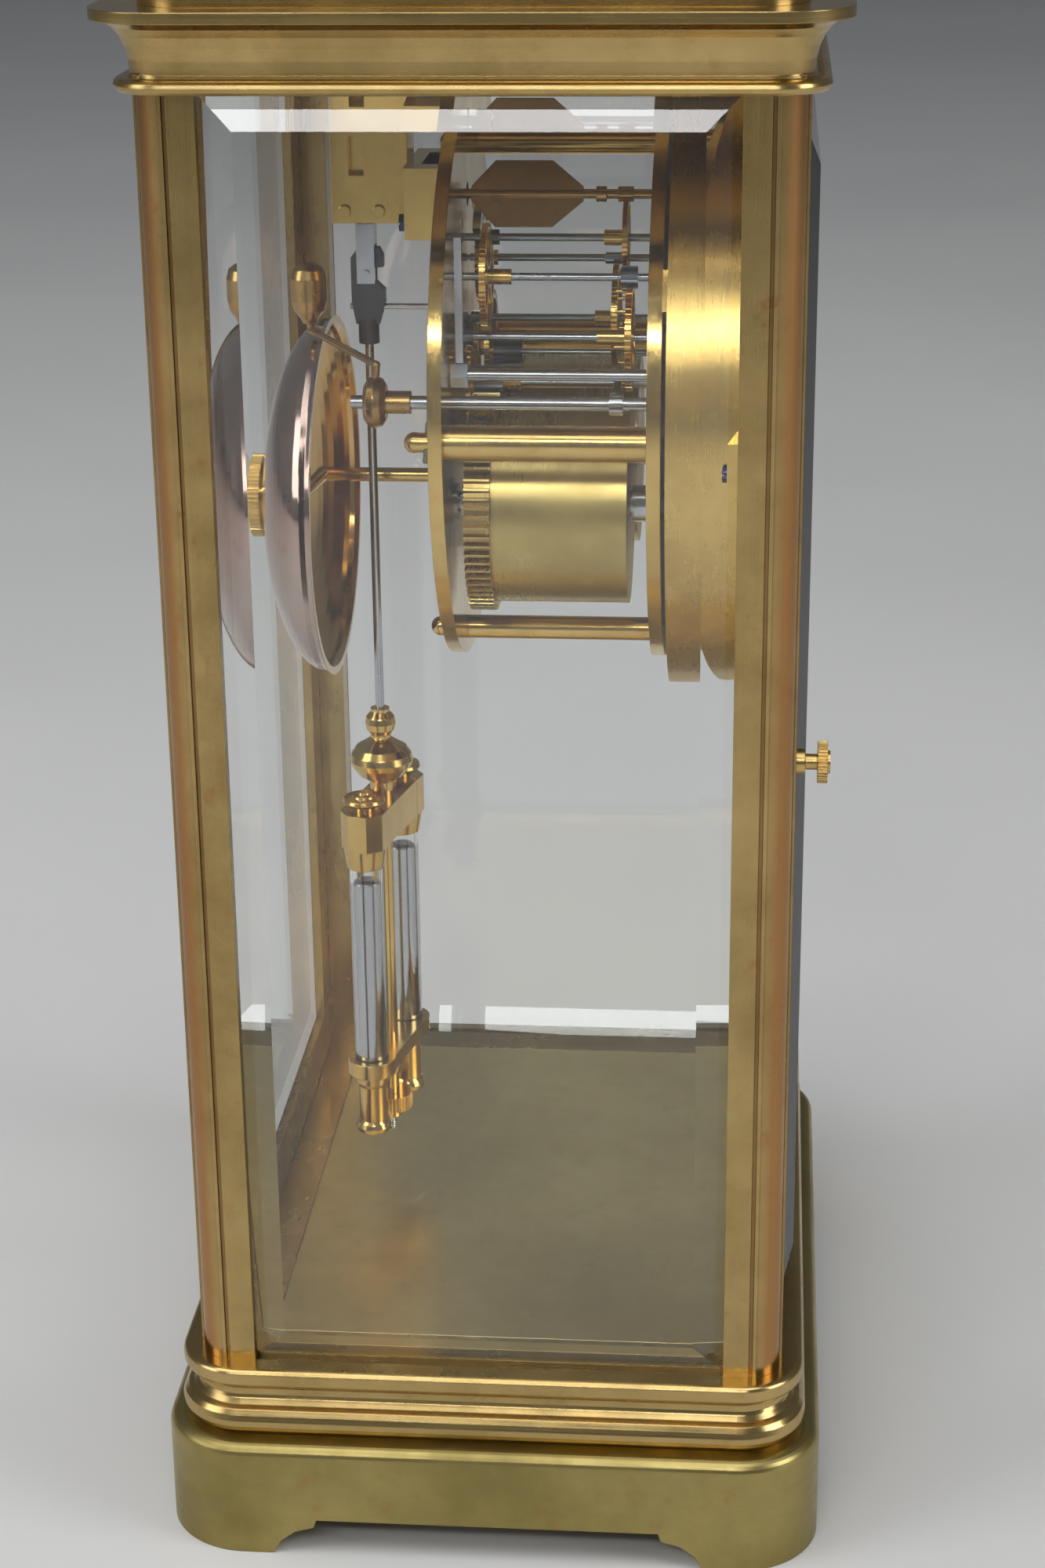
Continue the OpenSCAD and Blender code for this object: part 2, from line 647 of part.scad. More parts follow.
// bridge behind the rear plate for the anchor's back pivot, and the block with a bent wire below it
module back_cock() color(brass) difference() {
    union() {
        translate([-13, cock_y0, A[1] - 7]) cube([26, cock_y1 - cock_y0, 14]);
        for (sx = [-1, 1]) translate([sx * cock_x - 2.5, ry1, A[1] - 7]) cube([5, cock_y0 - ry1 + 0.5, 14]);
        translate([-7.4, ry1, C[1] - 1.2]) cube([4.8, 2.8, 19.2]);
        bent_wire([
            [-5, ry1 + 1.8, C[1] + 16.4], [-5, ry1 + 1.8, C[1] + 29.4], [-5, ry1, C[1] + 29.4]
        ], 0.6);
    }
    rod(A, ry1, cock_y1 + 1, pivot_r + run);
    for (sx = [-1, 1]) rod([sx * cock_x, A[1] - 4], ry1 - 1, cock_y1 + 1, small_r + fit);
}

// two cheeks that hold the split chop from which the suspension spring hangs
module suspension_bracket() color(brass) difference() {
    union() {
        for (sx = [-1, 1]) translate([sx * 4.4 - 1.1, cock_y1, A[1] - 5]) cube([2.2, cheek_y1 - cock_y1, 18]);
        translate([-5.5, cock_y1, A[1] + 3]) cube([11, cheek_y1 - cock_y1, 10]);
        for (y = [rod_y - 3.4, rod_y + 3.4]) translate([-6.4, y, A[1] - 2.6]) rotate([0, 90, 0])
            cylinder(r = 1.2, h = 12.8);
    }
    translate([-0.9, rod_y - 1.7, A[1] - 6]) cube([1.8, 3.4, 15.4]);
    translate([-6, rod_y - 0.6, A[1] + 4.4]) cube([4, 3, 7.5]);
}

// foot, arm and post that hold the bell clear of the pendulum
module bell_stand() color(brass) difference() {
    union() {
        rod([stand_x, stand_z], ry1, ry1 + 2.4, 3.4);
        rod([stand_x, stand_z - 4.5], ry1, ry1 + 3, stand_r + 0.1);
        translate([stand_x - 1.5, ry1, stand_z - 4.5]) cube([3, 2.4, 4]);
        bent_wire([
            [stand_x, ry1 + 1.2, stand_z - 4.5], [stand_x, bell_y + 4.5, stand_z - 4.5],
            [0, bell_y + 7.5, bell_z], [0, bell_top + 1, bell_z]
        ], stand_r);
        rod([0, bell_z], bell_y + 7, bell_top - 1.7, 3);
        rod([0, bell_z], bell_y + 8, bell_top + 3.4, stand_r);
    }
    rod([stand_x, stand_z], ry1 - 1, ry1 + 4, small_r + fit);
}

module bell() color(steel) translate([0, bell_y, bell_z]) rotate([-90, 0, 0]) rotate_extrude($fn = 96)
    polygon(concat(
        [[bell_r - 1.6, 0], [bell_r, 0]],
        arc([0, 1], bell_r - 0.6, bell_depth - 1, 0, acos((stand_r + fit) / (bell_r - 0.6)), 16),
        arc([0, 1], bell_r - 2.2, bell_depth - 2.6, acos((stand_r + fit) / (bell_r - 2.2)), 0, 16)
    ));

module bell_nut() color(brass) translate([0, bell_top, bell_z]) rotate([-90, 0, 0]) difference() {
    union() {
        cylinder(r = 6.5, h = 0.8);
        translate([0, 0, 0.8]) knurled(8.6, 2.4, 60);
    }
    translate([0, 0, -1]) cylinder(r = stand_r + fit, h = 6);
}

// a spring drum with its great wheel
module barrel(p, q, y) difference() {
    union() {
        rod(p, drum_y, y + 0.2, drum_r, $fn = 96);
        sheet(p, y, y + great_t) polygon(wheel_points(great_n, great_m, bearing(p, q)));
        rod(p, y + great_t, y + great_t + 1.2, 4.5);
    }
    rod(p, drum_y + 1.4, y + 1.4, drum_r - 1.3);
    rod(p, drum_y - 1, ry0, wind_r + run);
}

// a winding arbor with its squared front end
module winding_arbor(p, y) {
    rod(p, fy1 + 0.4, ry0 - 0.4, wind_r);
    rod(p, fy0 - 4, ry1 - 0.4, barrel_pivot_r);
    rod(p, drum_y + 2.6, y, 4);
    translate([p[0] - 1.3, ring_front - 2.1, p[1] - 1.3]) cube([2.6, ring_d - 1.3, 2.6]);
    rod(p, fy1 + 0.4, drum_y - 0.4, 3.6);
    rod(p, y + great_t + 1.5, ry0 - 0.4, 3.6);
}

module going_barrel() color(brass) barrel(G0, G1, going_y);

module going_arbor() color(steel) winding_arbor(G0, going_y);

module strike_barrel() color(brass) barrel(S0, S1, strike_y);

module strike_arbor() color(steel) winding_arbor(S0, strike_y);

// angle for a pinion at q so that a gap faces the wheel at p
function gap_at(p, q, n) = bearing(q, p) + 180 / n;

module intermediate_wheel() color(brass) {
    arbor(G1);
    pinion(G1, going_y - 0.5, going_y + great_t + 0.5, great_p, great_m, gap_at(G0, G1, great_p));
    collet(G1, ry0 - 3.6, ry0 - 1.6);
    wheel(G1, ry0 - 3.6, ry0 - 2.6, g1_n, g1_m, bearing(G1, C));
}

module centre_wheel() color(brass) {
    rod(C, fy0 - 13, ry0 - 0.3, 1);
    rod(C, ry0 - 1, ry1 - 0.3, pivot_r);
    rod(C, fy1 + 0.3, fy1 + 1.2, 2);
    pinion(C, ry0 - 4, ry0 - 1.8, leaf10, g1_m, gap_at(G1, C, leaf10));
    wheel(C, ry0 - 1.1, ry0 - 0.3, c_n, c_m, bearing(C, G3));
    rod(C, ry0 - 1.9, ry0 - 0.5, 1.9);
    pinion(C, fy0 - 5, fy0 - 1.2, cannon_n, minute_m, gap_at(M, C, cannon_n));
    rod(C, ring_front - 2.3, fy0 - 1.2, cannon_r);
    translate([-hand_square / 2, ring_front - 5.1, C[1] - hand_square / 2]) cube([hand_square, 4, hand_square]);
}

module third_wheel() color(brass) {
    arbor(G3);
    pinion(G3, ry0 - 2, ry0 - 0.4, leaf8, c_m, gap_at(C, G3, leaf8));
    wheel(G3, fy1 + 7.6, fy1 + 8.8, g3_n, g3_m, bearing(G3, E));
    collet(G3, fy1 + 8.8, fy1 + 12.5);
}

module escape_wheel() color(brass) {
    arbor(E);
    pinion(E, fy1 + 6, fy1 + 10.4, leaf7, g3_m, gap_at(G3, E, leaf7));
    sheet(E, ry0 - 3.2, ry0 - 2) {
        difference() {
            polygon([
                for (i = [0:escape_n - 1], q = [[0, 1.5], [0.3, 0], [0.42, 0], [0.62, 1.5]])
                    let (t = 360 / escape_n * (i + q[0])) (escape_r - q[1]) * [cos(t), sin(t)]
            ]);
            circle(r = escape_r - 2.6);
        }
        circle(r = 2);
        for (k = [0:3]) rotate(45 + 90 * k) translate([1.6, -0.5]) square([escape_r - 3.8, 1]);
    }
    collet(E, ry0 - 6, ry0 - 3);
}

// anchor, its arbor and the crutch that takes the swing to the pendulum
module anchor() color(steel) {
    rod(A, fy1 + 0.3, cock_y0 - 0.3, arbor_r + 0.25);
    rod(A, fy0 + 0.3, cock_y1 - 0.3, pivot_r);
    sheet(A, ry0 - 3.4, ry0 - 1.8) {
        circle(r = 2.2);
        translate([0, E[1] - A[1]]) intersection() {
            difference() {
                circle(r = escape_r + 2.9);
                circle(r = escape_r + 0.85);
            }
            polygon([[0, 0], [20, 15.6], [20, 20], [-20, 20], [-20, 15.6]]);
        }
    }
    rod(A, ry1 + 0.5, ry1 + 2.6, 2);
    translate([-0.9, ry1 + 0.8, hook_pin_z - 8]) cube([1.8, 1.4, 8 + A[1] - hook_pin_z]);
    rod([0, hook_pin_z - 7], ry1 + 0.8, rod_y + 3.6, 0.6);
}

module minute_wheel() color(brass) {
    rod(M, fy0 - 10.6, fy0 - 0.4, 1.1);
    rod(M, fy0 - 1, fy1 - 0.3, pivot_r);
    wheel(M, fy0 - 4.2, fy0 - 2.8, minute_n, minute_m, bearing(M, C));
    pinion(M, fy0 - 9.6, fy0 - 4, minute_p, hour_m, gap_at(C, M, minute_p));
}

module hour_wheel() color(brass) difference() {
    union() {
        wheel(C, fy0 - 8.4, fy0 - 7, hour_n, hour_m, bearing(C, M));
        rod(C, ring_front - 1.9, fy0 - 6, pipe_r);
    }
    rod(C, ring_front - 4, fy0, cannon_r + run);
}

// a tapering hand with a pierced round tip, pointing up
module hand(len, w, eye) {
    polygon([[-w, 0], [w, 0], [0.45 * w, len - 2 * eye - 5], [-0.45 * w, len - 2 * eye - 5]]);
    difference() {
        translate([0, len - eye - 6]) circle(r = eye);
        translate([0, len - eye - 6.5]) circle(r = eye - 0.9);
    }
    polygon([[-0.8, len - 6.4], [0.8, len - 6.4], [0.15, len], [-0.15, len]]);
}

module hour_hand() color(blued) sheet(C, ring_front - 1.7, ring_front - 0.8) difference() {
    union() {
        circle(r = 4.2);
        rotate(55) hand(hour_len, 1.2, 2.6);
    }
    circle(r = pipe_r + fit);
}

module minute_hand() color(blued) {
    sheet(C, ring_front - 3.5, ring_front - 2.6) difference() {
        union() {
            circle(r = 3.2);
            rotate(-60) hand(minute_len, 1, 2.4);
        }
        square(hand_square + 2 * fit, center = true);
    }
    difference() {
        rod(C, ring_front - 4.7, ring_front - 3.5, 2.2);
        translate([0, ring_front - 4, C[1]])
            cube([hand_square + 2 * fit, 6, hand_square + 2 * fit], center = true);
    }
}

module strike_second_wheel() color(brass) {
    arbor(S1);
    pinion(S1, strike_y - 0.5, strike_y + great_t + 0.4, great_p, great_m, gap_at(S0, S1, great_p));
    collet(S1, strike_y - 4, strike_y);
    wheel(S1, ry0 - 2.2, ry0 - 1.4, s1_n, s1_m, bearing(S1, S2));
}

module strike_pin_wheel() color(brass) {
    arbor(S2);
    pinion(S2, ry0 - 2.8, ry0 - 1, leaf8, s1_m, gap_at(S1, S2, leaf8));
    collet(S2, fy1 + 5.2, fy1 + 11);
    wheel(S2, fy1 + 4, fy1 + 5.2, s2_n, s2_m, bearing(S2, S3));
    for (i = [0:7]) rod(go(S2, 9, 45 * i), fy1 + 4.2, fy1 + 7.2, 0.4);
}

module strike_locking_wheel() color(brass) {
    arbor(S3);
    pinion(S3, fy1 + 3, fy1 + 6.2, leaf10, s2_m, gap_at(S2, S3, leaf10));
    wheel(S3, ry0 - 6.2, ry0 - 5, s3_n, s3_m, bearing(S3, S4));
    collet(S3, ry0 - 10.5, ry0 - 6.2);
}

module strike_warning_wheel() color(brass) {
    arbor(S4);
    pinion(S4, ry0 - 7.4, ry0 - 3.8, leaf8, s3_m, gap_at(S3, S4, leaf8));
    wheel(S4, fy1 + 5.2, fy1 + 6.2, s4_n, s4_m, bearing(S4, FL));
    collet(S4, fy1 + 6.2, fy1 + 10);
}

module fly() color(brass) {
    arbor(FL, 0.7);
    pinion(FL, fy1 + 4.2, fy1 + 7.2, leaf8, s4_m, gap_at(S4, FL, leaf8));
    translate([FL[0], 0, FL[1]]) rotate([0, -72, 0]) translate([0, 0, -0.25]) linear_extrude(0.5) polygon([
        [-fly_r, ry0 - 18], [-fly_r, ry0 - 6.9], [-1.4, ry0 - 2.2], [1.4, ry0 - 2.2], [fly_r, ry0 - 6.9],
        [fly_r, ry0 - 18], [1.4, ry0 - 24], [-1.4, ry0 - 24]
    ]);
    collet(FL, fy1 + 9.4, fy1 + 11.4);
}

// hammer arbor with the tail that the wheel's pins lift and the ball collet behind the plate
module hammer_arbor() color(steel) {
    rod(H, fy1 + 0.3, ry1 + 16.3, hammer_r);
    rod(H, fy0 + 0.3, fy1 + 1, pivot_r);
    rod(H, fy1 + 5, fy1 + 7.6, 2.2);
    tail = go(H, 10.4, bearing(H, S2));
    wire([H[0], fy1 + 6.3, H[1]], [tail[0], fy1 + 6.3, tail[1]], 0.7);
}

// ball collet, wire and head of the hammer
module hammer() color(brass) difference() {
    union() {
        rod(H, ry1 + 4.9, ry1 + 10, 2.2);
        translate([H[0], ry1 + 9.6, H[1]]) rotate([-90, 0, 0]) rotate_extrude()
            polygon([[0, 0], [3.4, 0], [4.6, 0.8], [5, 2.1], [4.6, 3.4], [3.4, 4.2], [0, 4.2]]);
        bent_wire([
            [H[0], ry1 + 11.7, H[1] + 3.6], [H[0], ry1 + 11.3, H[1] + 7.2],
            [H[0] + 28.5, bell_y + 2.7, bell_z + bell_r - 0.4], [H[0] + 28.5, bell_y + 2.7, bell_z + bell_r + 3]
        ], 0.7);
        translate([H[0] + 28.5, bell_y + 2.7, bell_z + bell_r + 1]) rotate_extrude() polygon([
            [0, 0], [1.4, 0], [1.8, 0.9], [3.1, 2.6], [3.6, 4.6], [3.6, 9], [3.1, 10.8], [1.8, 11.8], [0, 12]
        ]);
    }
    rod(H, ry1, ry1 + 17, hammer_r + fit);
}

module detent_lever() color(steel) {
    rod(L, fy1 + 0.3, ry0 - 0.3, 1.2);
    rod(L, fy0 + 0.3, ry1 - 0.3, pivot_r);
    rod(L, ry0 - 3.5, ry0 - 0.3, 2.6, $fn = 6);
    translate([L[0] - 0.7, ry0 - 2.6, L[1]]) cube([1.4, 1.4, 26]);
    translate([L[0] - 0.7, ry0 - 2.6, L[1] + 24.6]) cube([5.4, 1.4, 1.4]);
}

// spring strip, fork and pin from which the pendulum hangs
module suspension_spring() color(steel) {
    translate([-0.15, rod_y - 1.2, A[1] - 10]) cube([0.3, 2.4, 17]);
    translate([-2.6, rod_y - 1.8, hook_top + 0.6]) cube([5.2, 3.6, A[1] - 5.6 - hook_top - 0.6]);
    for (sx = [-1, 1]) translate([sx * 2 - 0.6, rod_y - 1.8, hook_pin_z - 2])
        cube([1.2, 3.6, hook_top - hook_pin_z + 3]);
    translate([-3.2, rod_y, hook_pin_z]) rotate([0, 90, 0]) cylinder(r = hook_pin_r, h = 6.4);
}

// hook plate with its mouth to the front and a socket for the rod
module pendulum_hook() color(steel) difference() {
    union() {
        translate([-1.1, 0, 0]) rotate([90, 0, 90]) linear_extrude(2.2) polygon([
            [rod_y - 2.4, hook_foot + 1], [rod_y + 2.4, hook_foot + 1], [rod_y + 3.2, hook_pin_z - 6],
            [rod_y + 3.2, hook_top - 2], [rod_y + 1.6, hook_top], [rod_y - 2.6, hook_top],
            [rod_y - 3.4, hook_top - 1.6], [rod_y - 3.4, hook_pin_z + 1.1], [rod_y - 0.6, hook_pin_z + 0.9],
            [rod_y - 0.9, hook_pin_z - 0.9], [rod_y - 3.6, hook_pin_z - 3.4], [rod_y - 3.6, hook_pin_z - 6]
        ]);
        translate([0, rod_y, hook_foot - 3]) cylinder(r = 2.1, h = 5);
    }
    translate([0, rod_y, hook_foot - 4]) cylinder(r = rod_r + fit, h = 6);
    translate([-2, rod_y, hook_pin_z]) rotate([0, 90, 0]) cylinder(r = hook_pin_r + fit, h = 4);
    translate([-0.65 - run, rod_y - 5, hook_pin_z - 8.4]) cube([1.3 + 2 * run, 9, 2.8]);
}

module pendulum_rod() color(steel) translate([0, rod_y, nut_top - 9])
    cylinder(r = rod_r, h = hook_foot + 2 - nut_top + 9);

// outline of the bob from above: two ends of radius r joined by a bar
module bob_plan(r, n) {
    for (s = [-1, 1]) translate([s * jar_x, 0]) rotate(180 / n) circle(r = r, $fn = n);
    translate([-jar_x, -0.9 * r]) square([2 * jar_x, 1.8 * r]);
}

// places a piece of the bob on the rod's axis, turned as the bob hangs
module on_bob() translate([0, rod_y, 0]) rotate([0, 0, -bob_turn]) children();

// brass frame of the bob: a block over the jars, a plate and feet under them and a tube that slides on the rod
module bob_frame() color(brass) on_bob() difference() {
    union() {
        translate([0, 0, bob_z1 - 5.5]) linear_extrude(block_z - bob_z1 + 5.5) bob_plan(jar_r + 1.5, 8);
        translate([0, 0, bob_z0 - 1.4]) linear_extrude(3.4) bob_plan(jar_r + 1.6, 48);
        for (s = [-1, 1]) translate([s * jar_x, 0, 0]) {
            translate([0, 0, bob_z1 - 10]) cylinder(r1 = jar_r + 0.4, r2 = jar_r + 1.1, h = 4.6);
            translate([0, 0, block_z]) rotate_extrude() polygon([
                [0, -0.5], [2.2, -0.5], [2.2, 1.2], [4, 1.6], [4.5, 2.2], [4.2, 2.9], [2.6, 3], [2.4, 3.5],
                [1.4, 3.6], [1.2, 4.1], [0, 4.2]
            ]);
            translate([0, 0, bob_z0 - 16.5]) rotate_extrude() polygon([
                [0, 0], [2, 0.2], [3.6, 1.2], [3.9, 2.2], [3.5, 3.2], [3, 3.8], [3, 12], [3.5, 12.8],
                [3.5, 15.4], [0, 15.4]
            ]);
        }
        translate([0, 0, nut_top + 0.05]) cylinder(r = 1.9, h = bob_z1 - nut_top);
        translate([0, 0, bob_z0 - 6.4]) cylinder(r1 = 2.6, r2 = 4.2, h = 5.2);
        translate([0, 0, block_z - 0.5]) rotate_extrude() polygon([
            [0, 0], [2.6, 0], [2.6, 3.4], [4.8, 4.8], [6.4, 7], [6.8, 8.2], [6.4, 9.6], [5.4, 11], [3.2, 12.4],
            [2.2, 13.2], [2.2, 13.9], [3, 15], [3.3, 16.4], [3, 17.8], [2, 19], [2, 19.7], [0, 19.7]
        ]);
    }
    translate([0, 0, nut_top - 1]) cylinder(r = rod_r + run, h = block_z + 22 - nut_top);
    for (s = [-1, 1]) translate([s * jar_x, 0, bob_z0]) cylinder(r = jar_r + fit, h = jar_h);
}

module mercury_jars() color(clear) on_bob() for (s = [-1, 1]) translate([s * jar_x, 0, bob_z0]) difference() {
    cylinder(r = jar_r, h = jar_h);
    translate([0, 0, 0.8]) cylinder(r = jar_r - 0.7, h = jar_h);
}

module mercury() color(steel) on_bob() for (s = [-1, 1]) translate([s * jar_x, 0, bob_z0 + 0.8])
    cylinder(r = jar_r - 0.7, h = mercury_h);

module rating_nut() color(brass) translate([0, rod_y, nut_top]) difference() {
    union() {
        translate([0, 0, -3.4]) knurled(4.8, 3.4, 40);
        translate([0, 0, -5.6]) cylinder(r = 2.4, h = 2.6);
    }
    translate([0, 0, -7]) cylinder(r = rod_r + run, h = 8);
}

base_plinth();
base_sill();
floor_plate();
pillar_front_left();
pillar_front_right();
pillar_back_left();
pillar_back_right();
cornice();
roof_plate();
side_glass_left();
side_glass_right();
case_screws();
door_pivots();
front_door_frame();
front_door_glass();
front_door_knob();
back_door_frame();
back_door_glass();
back_door_knob();
front_plate();
rear_plate();
plate_pillars();
pillar_pins();
dial_ring();
bezel();
dial();
plate_screws();
back_cock();
suspension_bracket();
bell_stand();
bell();
bell_nut();
going_barrel();
going_arbor();
intermediate_wheel();
centre_wheel();
third_wheel();
escape_wheel();
anchor();
minute_wheel();
hour_wheel();
hour_hand();
minute_hand();
strike_barrel();
strike_arbor();
strike_second_wheel();
strike_pin_wheel();
strike_locking_wheel();
strike_warning_wheel();
fly();
hammer_arbor();
hammer();
detent_lever();
suspension_spring();
pendulum_hook();
pendulum_rod();
bob_frame();
mercury_jars();
mercury();
rating_nut();
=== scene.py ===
"""Looks of a brass and glass mantel clock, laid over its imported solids.

The solids keep their places and sizes. This file gives every one of them a finish and adds the thin things that
are only seen: the dial's printing, the thread at the foot of the rod and the domed tops of the mercury.
"""

from __future__ import annotations

import json
import logging
import math
from dataclasses import dataclass, field
from enum import Enum
from typing import Iterable, Sequence, Union

import bmesh
import bpy
from mathutils import Matrix, Vector


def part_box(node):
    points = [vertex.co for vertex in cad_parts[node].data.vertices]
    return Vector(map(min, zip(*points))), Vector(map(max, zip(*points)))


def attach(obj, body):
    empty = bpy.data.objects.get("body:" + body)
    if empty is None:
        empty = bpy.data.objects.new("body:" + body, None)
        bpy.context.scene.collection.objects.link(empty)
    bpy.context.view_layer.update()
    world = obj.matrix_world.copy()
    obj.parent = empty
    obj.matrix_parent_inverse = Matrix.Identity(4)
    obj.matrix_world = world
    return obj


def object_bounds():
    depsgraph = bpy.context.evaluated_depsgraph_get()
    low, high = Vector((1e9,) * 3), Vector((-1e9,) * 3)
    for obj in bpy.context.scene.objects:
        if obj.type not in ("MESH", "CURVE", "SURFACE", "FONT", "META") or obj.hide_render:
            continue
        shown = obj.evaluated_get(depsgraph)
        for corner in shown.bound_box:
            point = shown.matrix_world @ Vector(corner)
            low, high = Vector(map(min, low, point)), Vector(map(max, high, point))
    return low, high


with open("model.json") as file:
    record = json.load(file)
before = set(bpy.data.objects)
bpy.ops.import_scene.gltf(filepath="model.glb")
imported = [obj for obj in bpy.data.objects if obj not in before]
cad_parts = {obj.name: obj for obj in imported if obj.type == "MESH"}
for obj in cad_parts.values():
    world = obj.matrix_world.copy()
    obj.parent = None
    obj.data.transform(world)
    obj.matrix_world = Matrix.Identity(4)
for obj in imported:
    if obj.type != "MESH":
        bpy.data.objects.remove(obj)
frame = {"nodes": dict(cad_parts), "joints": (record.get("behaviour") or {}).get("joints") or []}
CAD_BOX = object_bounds()

MM = 0.001
PHOTO_LONG_SIDE = 2000
SENSOR_MM = 36.0
LATHE_LINES = 1900.0

Colour = tuple[float, float, float]
Point = tuple[float, float, float]
Spot = tuple[float, float]
Wire = Union[bpy.types.NodeSocket, float, Sequence[float]]

log = logging.getLogger("clock")


class Grain(Enum):
    """Which way the fine lines of a worked metal run, as line counts per metre along X, Y and Z."""

    NONE = (60.0, 60.0, 60.0)
    ALONG_X = (25.0, 2300.0, 2300.0)
    ALONG_Z = (2300.0, 2300.0, 25.0)
    LEVEL = (18.0, 18.0, 2600.0)


class Graph:
    """Short-hand for laying and joining the nodes of one tree."""

    def __init__(self, tree: bpy.types.NodeTree) -> None:
        """Keeps the tree that the nodes go into."""
        self.tree = tree

    def add(self, kind: str, **settings: object) -> bpy.types.Node:
        """Lays one node.

        Args:
            kind: Blender's name of the node type.
            settings: attributes to set on the node.

        Returns:
            The new node.
        """
        node = self.tree.nodes.new(kind)
        for name, value in settings.items():
            setattr(node, name, value)
        return node

    def feed(self, socket: bpy.types.NodeSocket, value: Wire) -> None:
        """Joins a socket to another one, or sets a plain value on it.

        Args:
            socket: the input to fill.
            value: an output to join it to, or the value to set.
        """
        if isinstance(value, bpy.types.NodeSocket):
            self.tree.links.new(value, socket)
        elif socket.type == "RGBA" and len(value) == 3:
            socket.default_value = (*value, 1.0)
        else:
            socket.default_value = value

    def math(self, operation: str, *values: Wire, clamp: bool = False) -> bpy.types.NodeSocket:
        """Lays a Math node.

        Args:
            operation: the node's operation.
            values: its inputs, in order.
            clamp: keep the result between 0 and 1.

        Returns:
            The result's socket.
        """
        node = self.add("ShaderNodeMath", operation=operation, use_clamp=clamp)
        for socket, value in zip(node.inputs, values):
            self.feed(socket, value)
        return node.outputs[0]

    def vector(self, operation: str, *values: Wire) -> bpy.types.Node:
        """Lays a Vector Math node.

        Args:
            operation: the node's operation.
            values: its inputs, in order.

        Returns:
            The new node.
        """
        node = self.add("ShaderNodeVectorMath", operation=operation)
        for socket, value in zip(node.inputs, values):
            self.feed(socket, value)
        return node

    def mix(self, share: Wire, first: Wire, second: Wire) -> bpy.types.NodeSocket:
        """Blends two colours.

        Args:
            share: how much of the second colour shows.
            first: the colour at a share of 0.
            second: the colour at a share of 1.

        Returns:
            The blended colour's socket.
        """
        node = self.add("ShaderNodeMix", data_type="RGBA")
        for index, value in ((0, share), (6, first), (7, second)):
            self.feed(node.inputs[index], value)
        return node.outputs[2]

    def spread(
        self, value: Wire, low: float, high: float, start: float = 0.0, end: float = 1.0
    ) -> bpy.types.NodeSocket:
        """Stretches a value from one range to another and keeps it inside.

        Args:
            value: what to stretch.
            low: the value that becomes start.
            high: the value that becomes end.
            start: the first end of the new range.
            end: the other end of the new range.

        Returns:
            The result's socket.
        """
        node = self.add("ShaderNodeMapRange")
        for socket, given in zip(node.inputs, (value, low, high, start, end)):
            self.feed(socket, given)
        return node.outputs[0]

    def noise(self, place: Wire, scale: Wire, detail: float = 3.0, rough: float = 0.55) -> bpy.types.NodeSocket:
        """Lays a Noise texture.

        Args:
            place: the point to look up.
            scale: blotches per metre.
            detail: how many finer layers are added.
            rough: how strong the finer layers are.

        Returns:
            The socket of the noise's value.
        """
        node = self.add("ShaderNodeTexNoise")
        self.feed(node.inputs["Vector"], place)
        self.feed(node.inputs["Scale"], scale)
        self.feed(node.inputs["Detail"], detail)
        self.feed(node.inputs["Roughness"], rough)
        return node.outputs[0]

    def bump(self, height: Wire, strength: float, distance: float) -> bpy.types.Node:
        """Lays a Bump node.

        Args:
            height: the relief.
            strength: how much of it shows.
            distance: its full height, in metres.

        Returns:
            The new node.
        """
        node = self.add("ShaderNodeBump")
        node.inputs["Strength"].default_value = strength
        node.inputs["Distance"].default_value = distance
        self.feed(node.inputs["Height"], height)
        return node

    def split(self, value: Wire) -> bpy.types.NodeOutputs:
        """Takes a vector apart.

        Args:
            value: the vector.

        Returns:
            The sockets of its X, Y and Z.
        """
        node = self.add("ShaderNodeSeparateXYZ")
        self.feed(node.inputs[0], value)
        return node.outputs

    def off_axis(self, x: Wire, z: Wire) -> bpy.types.NodeSocket:
        """Returns the distance from an axis that runs along Y."""
        return self.math("SQRT", self.math("ADD", self.math("MULTIPLY", x, x), self.math("MULTIPLY", z, z)))

    def place(self) -> bpy.types.NodeSocket:
        """Returns the surface point in the object's own metres."""
        return self.add("ShaderNodeTexCoord").outputs["Object"]

    def facing(self) -> bpy.types.NodeSocket:
        """Returns the way the surface faces, along the object's own axes."""
        return self.add("ShaderNodeTexCoord").outputs["Normal"]


class EffectGroup:
    """A shader node group that finishes share, built once."""

    made: dict[str, bpy.types.NodeTree] = {}

    def __init__(self, name: str, inputs: dict[str, str], outputs: dict[str, str]) -> None:
        """Makes an empty group with named sockets.

        Args:
            name: the group's name.
            inputs: socket name to socket kind (Float, Vector or Color).
            outputs: the same for what the group puts out.
        """
        self.tree = bpy.data.node_groups.new(name, "ShaderNodeTree")
        self.graph = Graph(self.tree)
        for direction, sockets in (("INPUT", inputs), ("OUTPUT", outputs)):
            for label, kind in sockets.items():
                self.tree.interface.new_socket(label, in_out=direction, socket_type=f"NodeSocket{kind}")
        self.source = self.graph.add("NodeGroupInput").outputs
        self.sink = self.graph.add("NodeGroupOutput").inputs
        EffectGroup.made[name] = self.tree

    def put(self, label: str, socket: bpy.types.NodeSocket) -> None:
        """Joins a result to one of the group's outputs."""
        self.tree.links.new(socket, self.sink[label])

    @classmethod
    def use(cls, graph: Graph, name: str, **values: Wire) -> bpy.types.NodeOutputs:
        """Places a group in a material.

        Args:
            graph: the material's graph.
            name: the group's name.
            values: the group's inputs, with spaces written as underscores.

        Returns:
            The outputs of the placed group.
        """
        node = graph.add("ShaderNodeGroup", node_tree=cls.made[name])
        for label, value in values.items():
            graph.feed(node.inputs[label.replace("_", " ")], value)
        return node.outputs


